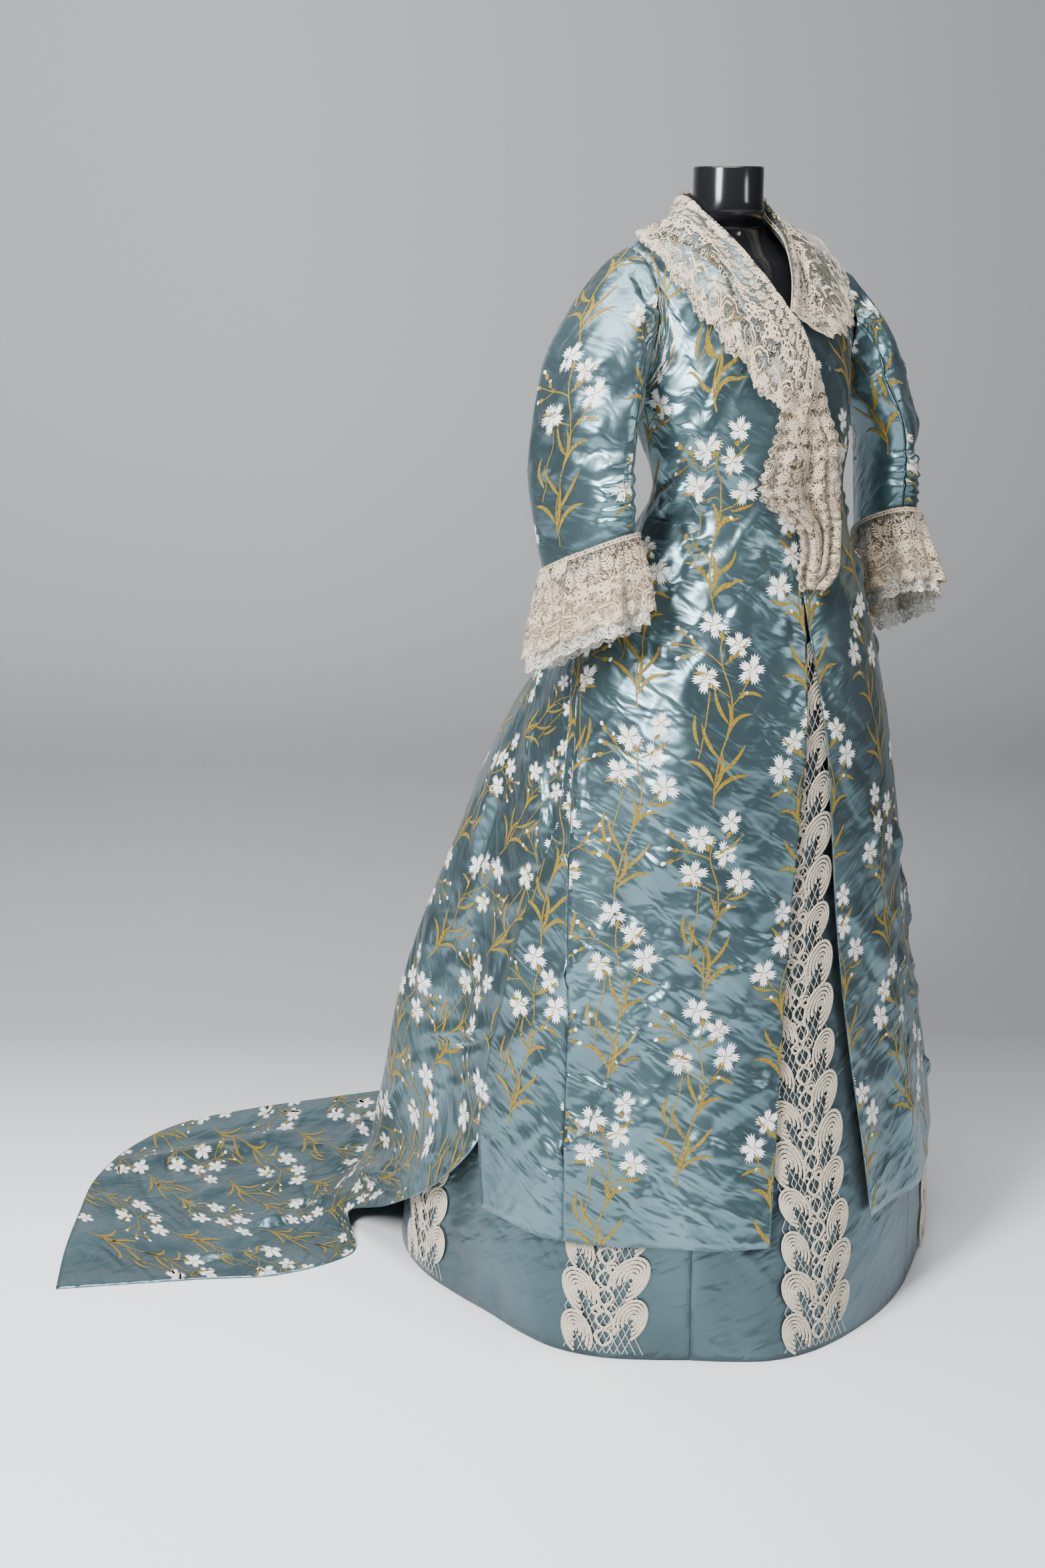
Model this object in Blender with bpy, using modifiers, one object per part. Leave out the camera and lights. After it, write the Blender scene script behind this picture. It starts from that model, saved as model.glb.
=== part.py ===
"""A trained reception gown on a limbless dress form.

The gown faces -Y, with the wearer's right at -X. The origin is on the floor, on the axis of the form.
A turn is an angle round that axis, in degrees: 0 is the front, 90 the wearer's left, -90 the right.
Lengths are in metres.
"""

import math

import bmesh
import bpy
import numpy as np
from mathutils import Vector

# Walls and gaps
SATIN_WALL = 0.0018
SKIRT_WALL = 0.0015
LACE_WALL = 0.0012
TAPE_WALL = 0.0020
SEAM_GAP = 0.0003
LAY_GAP = 0.0004

# Heights of the gown
OPENING_TOP = 0.985
UNDERARM = 1.250
SLIT_TOP = 0.800
SKIRT_TOP = 1.095

# Heights of the dress form
FORM_BOTTOM = 0.900
NECK_TOP = 1.533
NECK_RADIUS = 0.0455
NECK_BORE = 0.0425
NECK_BORE_DEPTH = 0.030
FOOT_RADIUS = 0.160
FOOT_THICKNESS = 0.022
POLE_RADIUS = 0.016

BLUE = (0.200, 0.370, 0.400)
PLAIN_BLUE = (0.170, 0.290, 0.310)
CREAM = (0.720, 0.620, 0.500)
BLACK = (0.012, 0.012, 0.014)
STEEL = (0.450, 0.450, 0.470)


def table(names, *rows):
    """A table with named columns, as arrays."""
    return {name: np.array(column, float) for name, column in zip(names.split(), zip(*rows))}


def along(xs, ys, x):
    """A smooth curve through (xs, ys), with xs rising."""
    x = min(max(x, xs[0]), xs[-1])
    i = min(max(int(np.searchsorted(xs, x)) - 1, 0), len(xs) - 2)
    slopes = np.gradient(ys, xs)
    step = xs[i + 1] - xs[i]
    t = (x - xs[i]) / step
    start, end = slopes[i] * step, slopes[i + 1] * step
    rise = ys[i + 1] - ys[i]
    return ys[i] + start * t + (3 * rise - 2 * start - end) * t**2 + (start + end - 2 * rise) * t**3


def mix(a, b, share):
    return a + (b - a) * share


def ease(x):
    """0 below 0, 1 above 1, and smooth between."""
    x = min(max(x, 0.0), 1.0)
    return x * x * (3 - 2 * x)


def bump(x, centre, width):
    """1 at the centre, and 0 from a width away."""
    return ease(1 - abs(x - centre) / width)


# The overdress from the floor to the underarm, as an oval at each height. The oval's centre lies
# centre_y behind the axis. Front and back are its depths from there, and under_back is the
# underskirt's, which leaves room for the gathers of the train.
BODY = table(
    "height half_width centre_y front back under_side under_back",
    (0.000, 0.385, 0.090, 0.395, 0.430, 0.385, 0.400),
    (0.165, 0.385, 0.090, 0.390, 0.460, 0.378, 0.390),
    (0.300, 0.372, 0.090, 0.360, 0.438, 0.358, 0.375),
    (0.400, 0.355, 0.090, 0.340, 0.405, 0.338, 0.355),
    (0.500, 0.335, 0.085, 0.320, 0.376, 0.316, 0.330),
    (0.600, 0.315, 0.070, 0.295, 0.349, 0.296, 0.305),
    (0.700, 0.290, 0.055, 0.275, 0.320, 0.273, 0.275),
    (0.800, 0.258, 0.030, 0.245, 0.285, 0.245, 0.240),
    (0.900, 0.222, 0.000, 0.200, 0.232, 0.214, 0.195),
    (0.950, 0.203, -0.015, 0.175, 0.203, 0.198, 0.175),
    (1.020, 0.176, -0.035, 0.138, 0.165, 0.174, 0.150),
    (1.080, 0.149, -0.050, 0.112, 0.125, 0.149, 0.122),
    (1.134, 0.134, -0.059, 0.098, 0.100, 0.134, 0.100),
    (1.190, 0.144, -0.048, 0.118, 0.110, 0.144, 0.110),
    (1.250, 0.157, -0.028, 0.130, 0.115, 0.157, 0.115),
)

# How far the hem swings out of its oval, all of it at the floor and none at SWAY_TOP
SWAY_TOP = 0.62
HEM_SWAY = table(
    "turn out",
    (-180, 0.000), (-122, 0.012), (-95, -0.014), (-69, 0.010), (-40, -0.004), (-18, 0.012),
    (11, -0.008), (35, -0.018), (58, -0.016), (76, 0.010), (100, 0.010), (140, -0.008), (180, 0.000),
)

# Soft folds that hang in the overdress: depth outwards at the hem, width in degrees
HANGING_FOLDS = table(
    "turn depth width top",
    (-74, 0.009, 12, 0.80),
    (-50, -0.006, 10, 0.60),
    (-34, 0.006, 9, 0.55),
    (22, -0.006, 10, 0.75),
    (38, 0.008, 12, 0.85),
    (66, -0.008, 12, 0.85),
    (84, 0.009, 12, 0.80),
)


def oval(turn, half_width, centre_y, front, back):
    """The reach from the axis to an oval, in the direction of the turn."""
    sine, cosine = math.sin(math.radians(turn)), -math.cos(math.radians(turn))
    for depth in (front, back):
        a = (sine / half_width) ** 2 + (cosine / depth) ** 2
        b = -2 * cosine * centre_y / depth**2
        c = (centre_y / depth) ** 2 - 1
        reach = (-b + math.sqrt(b * b - 4 * a * c)) / (2 * a)
        if depth == front and reach * cosine <= centre_y:
            return reach
    return reach


def section(height, column):
    return along(BODY["height"], BODY[column], height)


def sway(turn, height):
    share = max(0.0, 1 - height / SWAY_TOP) ** 1.5
    return share * along(HEM_SWAY["turn"], HEM_SWAY["out"], turn)


def body_reach(turn, height):
    reach = oval(turn, *(section(height, name) for name in ("half_width", "centre_y", "front", "back")))
    reach += sway(turn, height)
    for place, depth, width, top in zip(*(HANGING_FOLDS[name] for name in ("turn", "depth", "width", "top"))):
        reach += depth * bump(turn, place, width) * max(0.0, 1 - height / top)
    return reach


def around(turn, reach, height):
    """The point at that turn, reach and height."""
    angle = math.radians(turn)
    return Vector((reach * math.sin(angle), -reach * math.cos(angle), height))


def on_body(turn, height):
    return around(turn, body_reach(turn, height), height)


# Seams and free edges of the wearer's right side, as turns at each height. The left side mirrors
# the first two. The fronts part below OPENING_TOP.
RIGHT_SEAMS = table(
    "height front_seam back_seam",
    (0.165, -68.5, -92.0),
    (0.300, -70.5, -94.5),
    (0.450, -73.5, -93.0),
    (0.600, -77.0, -89.0),
    (0.700, -79.5, -84.5),
    (0.800, -83.0, -86.0),
    (0.880, -88.0, -92.0),
    (0.950, -94.0, -102.0),
    (1.020, -92.0, -110.0),
    (1.134, -86.0, -118.0),
    (1.250, -84.0, -112.0),
)
OPENING = table(
    "height right left",
    (0.165, -21.0, 12.0),
    (0.300, -18.0, 12.0),
    (0.450, -14.0, 10.5),
    (0.600, -10.0, 8.5),
    (0.750, -6.0, 6.0),
    (0.900, -2.0, 2.5),
    (0.985, 0.0, 0.0),
)


def seam(side, name, height):
    return -side * along(RIGHT_SEAMS["height"], RIGHT_SEAMS[name], height)


def opening(side, height):
    if height >= OPENING_TOP:
        return 0.0
    return along(OPENING["height"], OPENING["left" if side > 0 else "right"], height)


# The armhole of the wearer's right side. The place goes round it: 90 at the shoulder, 0 in front,
# -90 under the arm.
ARMHOLE = table(
    "place x y z",
    (-180, -0.157, 0.066, 1.338),
    (-150, -0.158, 0.055, 1.295),
    (-120, -0.157, 0.028, 1.270),
    (-90, -0.157, -0.005, 1.264),
    (-60, -0.157, -0.035, 1.272),
    (-30, -0.160, -0.062, 1.298),
    (0, -0.160, -0.073, 1.338),
    (30, -0.150, -0.062, 1.375),
    (60, -0.142, -0.030, 1.412),
    (90, -0.143, 0.012, 1.432),
    (120, -0.146, 0.040, 1.416),
    (150, -0.152, 0.058, 1.382),
    (180, -0.157, 0.066, 1.338),
)
NECK_POINT = (-0.066, 0.012, 1.4660)
SHOULDER_MIDDLE = (-0.105, 0.013, 1.4500)
SHOULDER_POINT = (-0.143, 0.012, 1.4320)


def armhole(side, place):
    x, y, z = (along(ARMHOLE["place"], ARMHOLE[axis], place) for axis in "xyz")
    return Vector((-side * x, y, z))


# The top edge of each bodice panel, from the centre or its front seam outwards. Each row is the
# point where a column of cloth ends, the turn where that column starts at the underarm, and the
# direction in which it arrives.
FRONT_TOP = table(
    "turn x y z to_x to_y to_z",
    (0, -0.000, -0.134, 1.342, 0.0, 0.35, 1.0),
    (-8, -0.016, -0.118, 1.368, 0.0, 0.45, 1.0),
    (-16, -0.034, -0.092, 1.400, 0.0, 0.55, 1.0),
    (-24, -0.052, -0.050, 1.436, 0.0, 0.80, 0.9),
    (-31, *NECK_POINT, 0.0, 1.0, 0.25),
    (-38, *SHOULDER_MIDDLE, 0.0, 1.0, 0.30),
    (-45, *SHOULDER_POINT, 0.0, 1.0, 0.35),
    (-54, -0.142, -0.030, 1.412, 0.0, 0.6, 1.0),
    (-64, -0.153, -0.067, 1.362, -0.1, 0.3, 1.0),
    (-74, -0.160, -0.062, 1.298, -0.1, 0.0, 1.0),
    (-84, -0.157, -0.035, 1.272, -0.1, 0.0, 1.0),
)
BACK_TOP = table(
    "turn x y z to_x to_y to_z",
    (-180, -0.000, 0.074, 1.470, 0.0, -0.25, 1.0),
    (-171, -0.024, 0.068, 1.469, 0.0, -0.30, 1.0),
    (-162, -0.048, 0.046, 1.467, 0.0, -0.70, 0.8),
    (-154, *NECK_POINT, 0.0, -1.0, 0.25),
    (-146, *SHOULDER_MIDDLE, 0.0, -1.0, 0.30),
    (-138, *SHOULDER_POINT, 0.0, -1.0, 0.35),
    (-130, -0.149, 0.052, 1.398, 0.0, -0.4, 1.0),
    (-121, -0.156, 0.066, 1.345, -0.1, -0.1, 1.0),
    (-112, -0.158, 0.055, 1.296, -0.1, 0.0, 1.0),
)
SIDE_TOP_PLACES = (-60, -150)
SHOULDER_SPLIT = 0.0005
# Which column of BACK_TOP each of a back's columns ends in
BACK_COLUMNS = (0, 0.75, 1.5, 2.25, 3, 4, 5, 5.75, 6.5, 7.25, 8)


def yoke(base_turn, top, arrival, share, side):
    """A column of cloth from the underarm line up to its top point."""
    base = on_body(side * abs(base_turn), UNDERARM)
    lower = on_body(side * abs(base_turn), UNDERARM - 0.01)
    reach = (top - base).length
    start = (base - lower).normalized() * reach
    end = arrival.normalized() * reach
    t = share
    return (
        base * (1 - 3 * t * t + 2 * t**3)
        + top * (3 * t * t - 2 * t**3)
        + start * (t - 2 * t * t + t**3)
        + end * (t**3 - t * t)
    )


SHARE_DROP = 0.1
# How much of its last column a front or a back stops short by, for the side piece
YOKE_EDGE = 0.08


def yoke_column(tops, number, share, side):
    """The column of that number, whole or between two, of a front or a back. A number below 0 is on
    the other side, and a share below 0 is below the underarm line."""
    index = np.arange(len(tops["turn"]), dtype=float)
    if number < 0:
        number, side = -number, -side
    turn, x, y, z, to_x, to_y, to_z = (along(index, tops[name], number) for name in tops)
    if share < 0:
        return on_body(side * abs(turn), UNDERARM + share * SHARE_DROP)
    top = Vector((-side * x, y, z))
    return yoke(turn, top, Vector((-side * to_x, to_y, to_z)), share, side)


BODICE_ROWS = 5
BODY_ROWS = (1.250, 1.192, 1.134, 1.080, 1.020, 0.950, 0.875, 0.800)
SKIRT_ROWS = (0.700, 0.600, 0.490, 0.380, 0.270, 0.165)


def rows_of(heights):
    """Row numbers that fall below the underarm, and the height at any row between them."""
    index = np.arange(len(heights), dtype=float)
    return len(heights) - 1, lambda row: float(np.interp(row, index, heights))


FRONT_HEIGHTS = BODY_ROWS + SKIRT_ROWS
FRONT_ROW_COUNT, front_height = rows_of(FRONT_HEIGHTS)


def material(name, colour, roughness, metallic=0.0):
    made = bpy.data.materials.new(name)
    made.use_nodes = True
    shader = made.node_tree.nodes["Principled BSDF"]
    shader.inputs["Base Color"].default_value = (*colour, 1.0)
    shader.inputs["Roughness"].default_value = roughness
    shader.inputs["Metallic"].default_value = metallic
    return made


def add_object(name, bm, colour, roughness=0.5, metallic=0.0):
    mesh = bpy.data.meshes.new(name)
    bm.to_mesh(mesh)
    bm.free()
    mesh.shade_smooth()
    mesh.materials.append(material(name, colour, roughness, metallic))
    made = bpy.data.objects.new(name, mesh)
    gown.objects.link(made)
    return made


def wall(name, surface, columns, rows, thickness, colour, outwards=1, holes=(), raised=0.0):
    """A wall of cloth or lace: a flat slab one cell thick, wrapped over surface(across, down). Its
    inner face lies on the surface, or is raised off it, and its outer face is a thickness farther.
    A cell in holes, given as (column, row), is left out."""
    nodes = [[surface(i / columns, k / rows) for i in range(columns + 1)] for k in range(rows + 1)]
    bm = bmesh.new()
    bmesh.ops.create_grid(bm, x_segments=columns, y_segments=rows, size=0.5)
    bmesh.ops.translate(bm, verts=bm.verts, vec=(0.5, 0.5, 0.0))
    middles = {face: face.calc_center_median() for face in bm.faces}
    gone = [face for face, middle in middles.items() if (int(middle.x * columns), int(middle.y * rows)) in holes]
    bmesh.ops.delete(bm, geom=gone, context="FACES")
    bmesh.ops.triangulate(bm, faces=bm.faces[:], quad_method="FIXED")
    raising = bmesh.ops.extrude_face_region(bm, geom=bm.faces[:], use_keep_orig=True)
    upper = [part for part in raising["geom"] if isinstance(part, bmesh.types.BMVert)]
    bmesh.ops.translate(bm, verts=upper, vec=(0.0, 0.0, 1.0))
    bmesh.ops.recalc_face_normals(bm, faces=bm.faces)
    if outwards < 0:
        bmesh.ops.reverse_faces(bm, faces=bm.faces)
    for vertex in bm.verts:
        i, k, layer = round(vertex.co.x * columns), round(vertex.co.y * rows), round(vertex.co.z)
        one = nodes[k][min(i + 1, columns)] - nodes[k][max(i - 1, 0)]
        two = nodes[min(k + 1, rows)][i] - nodes[max(k - 1, 0)][i]
        out = one.cross(two).normalized() * outwards
        vertex.co = nodes[k][i] + out * (raised + layer * thickness)
    return add_object(name, bm, colour)


def between(turn_a, turn_b, across, height):
    """A turn between two seams, half a seam gap inside each."""
    first, second = (math.degrees(0.5 * SEAM_GAP / body_reach(turn, height)) for turn in (turn_a, turn_b))
    way = 1 if turn_b > turn_a else -1
    return mix(turn_a + way * first, turn_b - way * second, across)


def inside(across, width):
    """A share of a width, half a seam gap inside each end."""
    inset = 0.5 * SEAM_GAP / width
    return mix(inset, 1 - inset, across)


def front_surface(side):
    """A front from the neck to the hem, from its free edge to its side seam."""
    columns = len(FRONT_TOP["turn"]) - 1
    rows = BODICE_ROWS + FRONT_ROW_COUNT

    def surface(across, down):
        row = down * rows - BODICE_ROWS
        if row <= 0:
            share = -row / BODICE_ROWS
            inset = 0.5 * SEAM_GAP
            place = yoke_column(FRONT_TOP, min(across * columns, columns - YOKE_EDGE), share, side)
            place.x += side * inset * (1 - across)
            place.y -= SHOULDER_SPLIT * ease(3 * share - 2) * (across > 0.3)
            return place
        height = front_height(row)
        upper = FRONT_TOP["turn"] * -side
        turns = np.interp(across * columns, np.arange(columns + 1), upper)
        start, end = opening(side, height), seam(side, "front_seam", height)
        share = turns / upper[-1]
        return on_body(between(start, end, share, height), height)

    return surface, columns, rows


def side_surface(side, columns=5):
    """The piece under the arm, which hangs free behind below the slit."""
    rows = BODICE_ROWS + FRONT_ROW_COUNT

    def surface(across, down):
        row = down * rows - BODICE_ROWS
        height = UNDERARM if row <= 0 else front_height(row)
        start, end = seam(side, "front_seam", height), seam(side, "back_seam", height)
        turn = between(start, end, across, height)
        if row > 0:
            return on_body(turn, height)
        top = armhole(side, mix(*SIDE_TOP_PLACES, across))
        arrival = Vector((side * 0.1, 0.0, 1.0))
        return yoke(turn, top, arrival, -row / BODICE_ROWS, side)

    return surface, columns, rows


# The train. Below SLIT_TOP each column of the back leaves the body's oval, comes down to the floor
# and runs out over it to the hem. Turns here run on past -180 to the wearer's left.
TRAIN_EDGE = table(
    "row right left",
    (0, -86.0, -274.0),
    (1, -84.5, -275.5),
    (2, -87.5, -272.5),
    (3, -90.8, -269.2),
    (4, -92.5, -267.5),
    (5, -93.5, -266.5),
    (6, -104.0, -262.0),
    (7, -120.0, -259.0),
    (8, -131.0, -258.0),
    (9, -122.0, -258.0),
    (10, -115.8, -258.0),
    (13, -115.2, -258.0),
)
TRAIN_FLOOR = table(
    "turn touch hem",
    (-258, 0.455, 0.500),
    (-240, 0.500, 0.560),
    (-222, 0.540, 0.610),
    (-205, 0.570, 0.670),
    (-190, 0.590, 0.725),
    (-180, 0.600, 0.755),
    (-169, 0.610, 0.800),
    (-159, 0.620, 0.880),
    (-152, 0.620, 0.946),
    (-144, 0.610, 0.973),
    (-136, 0.600, 0.968),
    (-127, 0.540, 0.942),
    (-121, 0.515, 0.938),
    (-115, 0.530, 0.936),
)
TRAIN_FOLDS = table(
    "share depth",
    (0.10, -0.022),
    (0.20, 0.026),
    (0.30, -0.030),
    (0.40, 0.024),
    (0.50, -0.026),
    (0.60, 0.024),
    (0.70, -0.026),
    (0.80, 0.022),
    (0.90, -0.020),
)
FOLD_WIDTH = 0.10
FALL_HEIGHTS = (0.700, 0.600, 0.490, 0.380, 0.270)
# How a column runs from the last falling height to the floor: share of the way out, and height
FALL_FOOT = ((0.16, 0.170), (0.42, 0.085), (0.72, 0.024), (1.0, 0.0))
FLOOR_SHARES = (0.22, 0.50, 0.76, 1.0)
TRAIN_ROWS = len(FALL_HEIGHTS) + len(FALL_FOOT) + len(FLOOR_SHARES)
LIFT = 0.0006
TRAIN_HALF_WIDTH = 0.28
# How far the edges of the train tuck in under the side pieces, and over what share of its width
TUCK = 0.0035
TUCK_WIDTH = 0.09


def train_point(share, row):
    """The train at a share of its width, from its right edge, and a row below the slit."""
    turn = mix(*(np.interp(row, TRAIN_EDGE["row"], TRAIN_EDGE[edge]) for edge in ("right", "left")), share)
    level = int(min(row, TRAIN_ROWS - 1))
    first, second = (train_station(turn, level + k) for k in (0, 1))
    reach, height = (mix(first[i], second[i], row - level) for i in (0, 1))
    fold = sum(depth * bump(share, place, FOLD_WIDTH) for place, depth in zip(*TRAIN_FOLDS.values()))
    strength = ease(row / 4) * ease((len(FALL_HEIGHTS) + 3 - row) / 4)
    tuck = TUCK * (bump(share, 0, TUCK_WIDTH) + bump(share, 1, TUCK_WIDTH)) * min(row, 1)
    return around(turn, reach + fold * strength - tuck, height + LIFT)


def wrapped(turn):
    return turn + 360 if turn < -180 else turn


def train_station(turn, level):
    """Reach and height of one column of the train at a whole row."""
    falling = len(FALL_HEIGHTS)
    if level == 0:
        return body_reach(wrapped(turn), SLIT_TOP), SLIT_TOP
    if level <= falling:
        height = FALL_HEIGHTS[level - 1]
        return body_reach(wrapped(turn), height), height
    start = body_reach(wrapped(turn), FALL_HEIGHTS[-1])
    touch = along(TRAIN_FLOOR["turn"], TRAIN_FLOOR["touch"], turn)
    hem = along(TRAIN_FLOOR["turn"], TRAIN_FLOOR["hem"], turn)
    if level <= falling + len(FALL_FOOT):
        share, height = FALL_FOOT[level - falling - 1]
        return mix(start, touch, share), height
    return mix(touch, hem, FLOOR_SHARES[level - falling - len(FALL_FOOT) - 1]), 0.0


BACK_BODY_ROWS = len(BODY_ROWS) - 1


def back_surface(side, columns=10):
    """A back with its half of the train, from its side edge to the centre back."""
    rows = BODICE_ROWS + BACK_BODY_ROWS + TRAIN_ROWS

    def surface(across, down):
        row = down * rows - BODICE_ROWS
        inset = 0.5 * SEAM_GAP
        if row <= 0:
            share = -row / BODICE_ROWS
            number = np.interp((1 - across) * columns, np.arange(columns + 1), BACK_COLUMNS)
            place = yoke_column(BACK_TOP, min(number, BACK_COLUMNS[-1] - YOKE_EDGE), share, side)
            place.x += side * inset * across
            place.y += SHOULDER_SPLIT * ease(3 * share - 2) * (across < 0.7)
            return place
        if row <= BACK_BODY_ROWS:
            height = float(np.interp(row, np.arange(len(BODY_ROWS)), BODY_ROWS))
            return on_body(between(seam(side, "back_seam", height), side * 180.0, across, height), height)
        share = inside(across, TRAIN_HALF_WIDTH) / 2
        share = share if side < 0 else 1 - share
        return train_point(share, row - BACK_BODY_ROWS)

    return surface, columns, rows


# The sleeves as ovals round an arm: centre, half size towards the front of the elbow, half size
# outwards, and how much higher the outer side and the front end are. This is the wearer's right
# sleeve. The left one mirrors it, but hangs nearer the body.
SLEEVE = table(
    "height x left_x y long short outer_up front_up",
    (1.262, -0.2290, -0.2180, -0.030, 0.0750, 0.0370, 0.030, 0.000),
    (1.210, -0.2480, -0.2390, -0.042, 0.0755, 0.0345, 0.010, 0.000),
    (1.154, -0.2520, -0.2480, -0.042, 0.0770, 0.0350, 0.000, 0.004),
    (1.100, -0.2490, -0.2460, -0.047, 0.0710, 0.0350, 0.000, 0.018),
    (1.045, -0.2450, -0.2430, -0.053, 0.0625, 0.0345, 0.000, 0.030),
)
SLEEVE_LONG = Vector((0.35, -0.94, 0.0))
SLEEVE_OUT = Vector((-0.94, -0.35, 0.0))
HEAD_ROWS = 5
ARM_HEIGHTS = (1.262, 1.236, 1.208, 1.182, 1.166, 1.154, 1.142, 1.130, 1.118, 1.106, 1.094, 1.076, 1.045)
# The ruched folds inside the elbow run round the arm here, a fold to two rows
RUCHE_TOP, RUCHE_BOTTOM, RUCHE_DEPTH = 1.182, 1.094, 0.0025
HEAD_GATHERS, HEAD_GATHER_DEPTH = 9, 0.0022


def mirrored(side, point):
    return Vector((-side * point.x, point.y, point.z))


def sleeve_ring(side, place, height):
    """A point of the sleeve's oval at that height, as on the right."""
    names = ("left_x" if side > 0 else "x", "y", "long", "short", "outer_up", "front_up")
    x, y, long, short, outer_up, front_up = (along(-SLEEVE["height"], SLEEVE[name], -height) for name in names)
    cosine, sine = math.cos(math.radians(place)), math.sin(math.radians(place))
    point = Vector((x, y, height)) + SLEEVE_LONG * long * cosine
    point += SLEEVE_OUT * short * sine
    point.z += outer_up * sine + front_up * cosine
    return point


def sleeve_head(side, place, share):
    """The puffed head of the sleeve, from the armhole to the top of the arm, as on the right."""
    cosine, sine = math.cos(math.radians(place)), math.sin(math.radians(place))
    start = armhole(-1, place) + Vector((-0.0018 - 0.0024 * max(0.0, -sine), 0.0, 0.0))
    end = sleeve_ring(side, place, ARM_HEIGHTS[0])
    radial = SLEEVE_LONG * cosine + SLEEVE_OUT * sine
    spread = 0.020 + (0.008 if side > 0 else 0.016) * max(0.0, sine)
    first = start + (Vector((-0.80, 0.0, -0.30)) + 0.5 * radial) * spread
    second = end + Vector((0.25 * max(0.0, sine), 0.0, 1.0)) * (0.012 + 0.030 * (1 + sine) / 2)
    rest = 1 - share
    point = start * rest**3 + first * 3 * rest**2 * share + second * 3 * rest * share**2 + end * share**3
    gather = HEAD_GATHER_DEPTH * math.cos(2 * HEAD_GATHERS * math.radians(place)) * 4 * share * rest * rest
    return point + radial * gather * max(0.0, sine)


def sleeve_surface(side, start, end, columns):
    """A sleeve's upper or under piece, between two places round the arm."""
    rows = HEAD_ROWS + len(ARM_HEIGHTS) - 1

    def surface(across, down):
        row = down * rows
        place = mix(start, end, inside(across, SLEEVE_HALF_ROUND))
        if row < HEAD_ROWS:
            return mirrored(side, sleeve_head(side, place, row / HEAD_ROWS))
        height = np.interp(row - HEAD_ROWS, np.arange(len(ARM_HEIGHTS)), ARM_HEIGHTS)
        point = sleeve_ring(side, place, height)
        if RUCHE_BOTTOM <= height <= RUCHE_TOP:
            wave = math.cos(math.pi * (row - HEAD_ROWS - 3)) * bump(place, -10, 75)
            fade = min(1.0, (RUCHE_TOP - height) / 0.012, (height - RUCHE_BOTTOM) / 0.012)
            point += (SLEEVE_LONG * math.cos(math.radians(place))) * RUCHE_DEPTH * wave * fade
        return mirrored(side, point)

    return surface, columns, rows


SLEEVE_HALF_ROUND = 0.080

# The lace cuffs as ovals like the sleeve's, with the depth of their ruffle
CUFF = table(
    "height long short x y wave front_up",
    (1.064, 0.0690, 0.0425, -0.2455, -0.053, 0.0000, 0.030),
    (1.035, 0.0760, 0.0440, -0.2490, -0.056, 0.0030, 0.033),
    (1.005, 0.0820, 0.0470, -0.2520, -0.060, 0.0055, 0.037),
    (0.980, 0.0850, 0.0480, -0.2560, -0.064, 0.0070, 0.040),
    (0.957, 0.0870, 0.0490, -0.2590, -0.067, 0.0080, 0.042),
)
CUFF_WAVES, CUFF_HALF_ROUND = 7, 0.1


def cuff_surface(side, start, end, columns=14, rows=4):
    """Half of a cuff, between two places round the wrist."""

    def surface(across, down):
        height = mix(CUFF["height"][0], CUFF["height"][-1], down)
        long, short, x, y, wave, front_up = (
            along(-CUFF["height"], CUFF[name], -height) for name in ("long", "short", "x", "y", "wave", "front_up")
        )
        place = mix(start, end, inside(across, CUFF_HALF_ROUND))
        cosine, sine = math.cos(math.radians(place)), math.sin(math.radians(place))
        ruffle = wave * math.cos(CUFF_WAVES * math.radians(place + 10))
        point = Vector((x, y, height + front_up * cosine))
        point += SLEEVE_LONG * (long + ruffle) * cosine
        point += SLEEVE_OUT * (short + ruffle) * sine
        return mirrored(side, point)

    return surface, columns, rows


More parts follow.
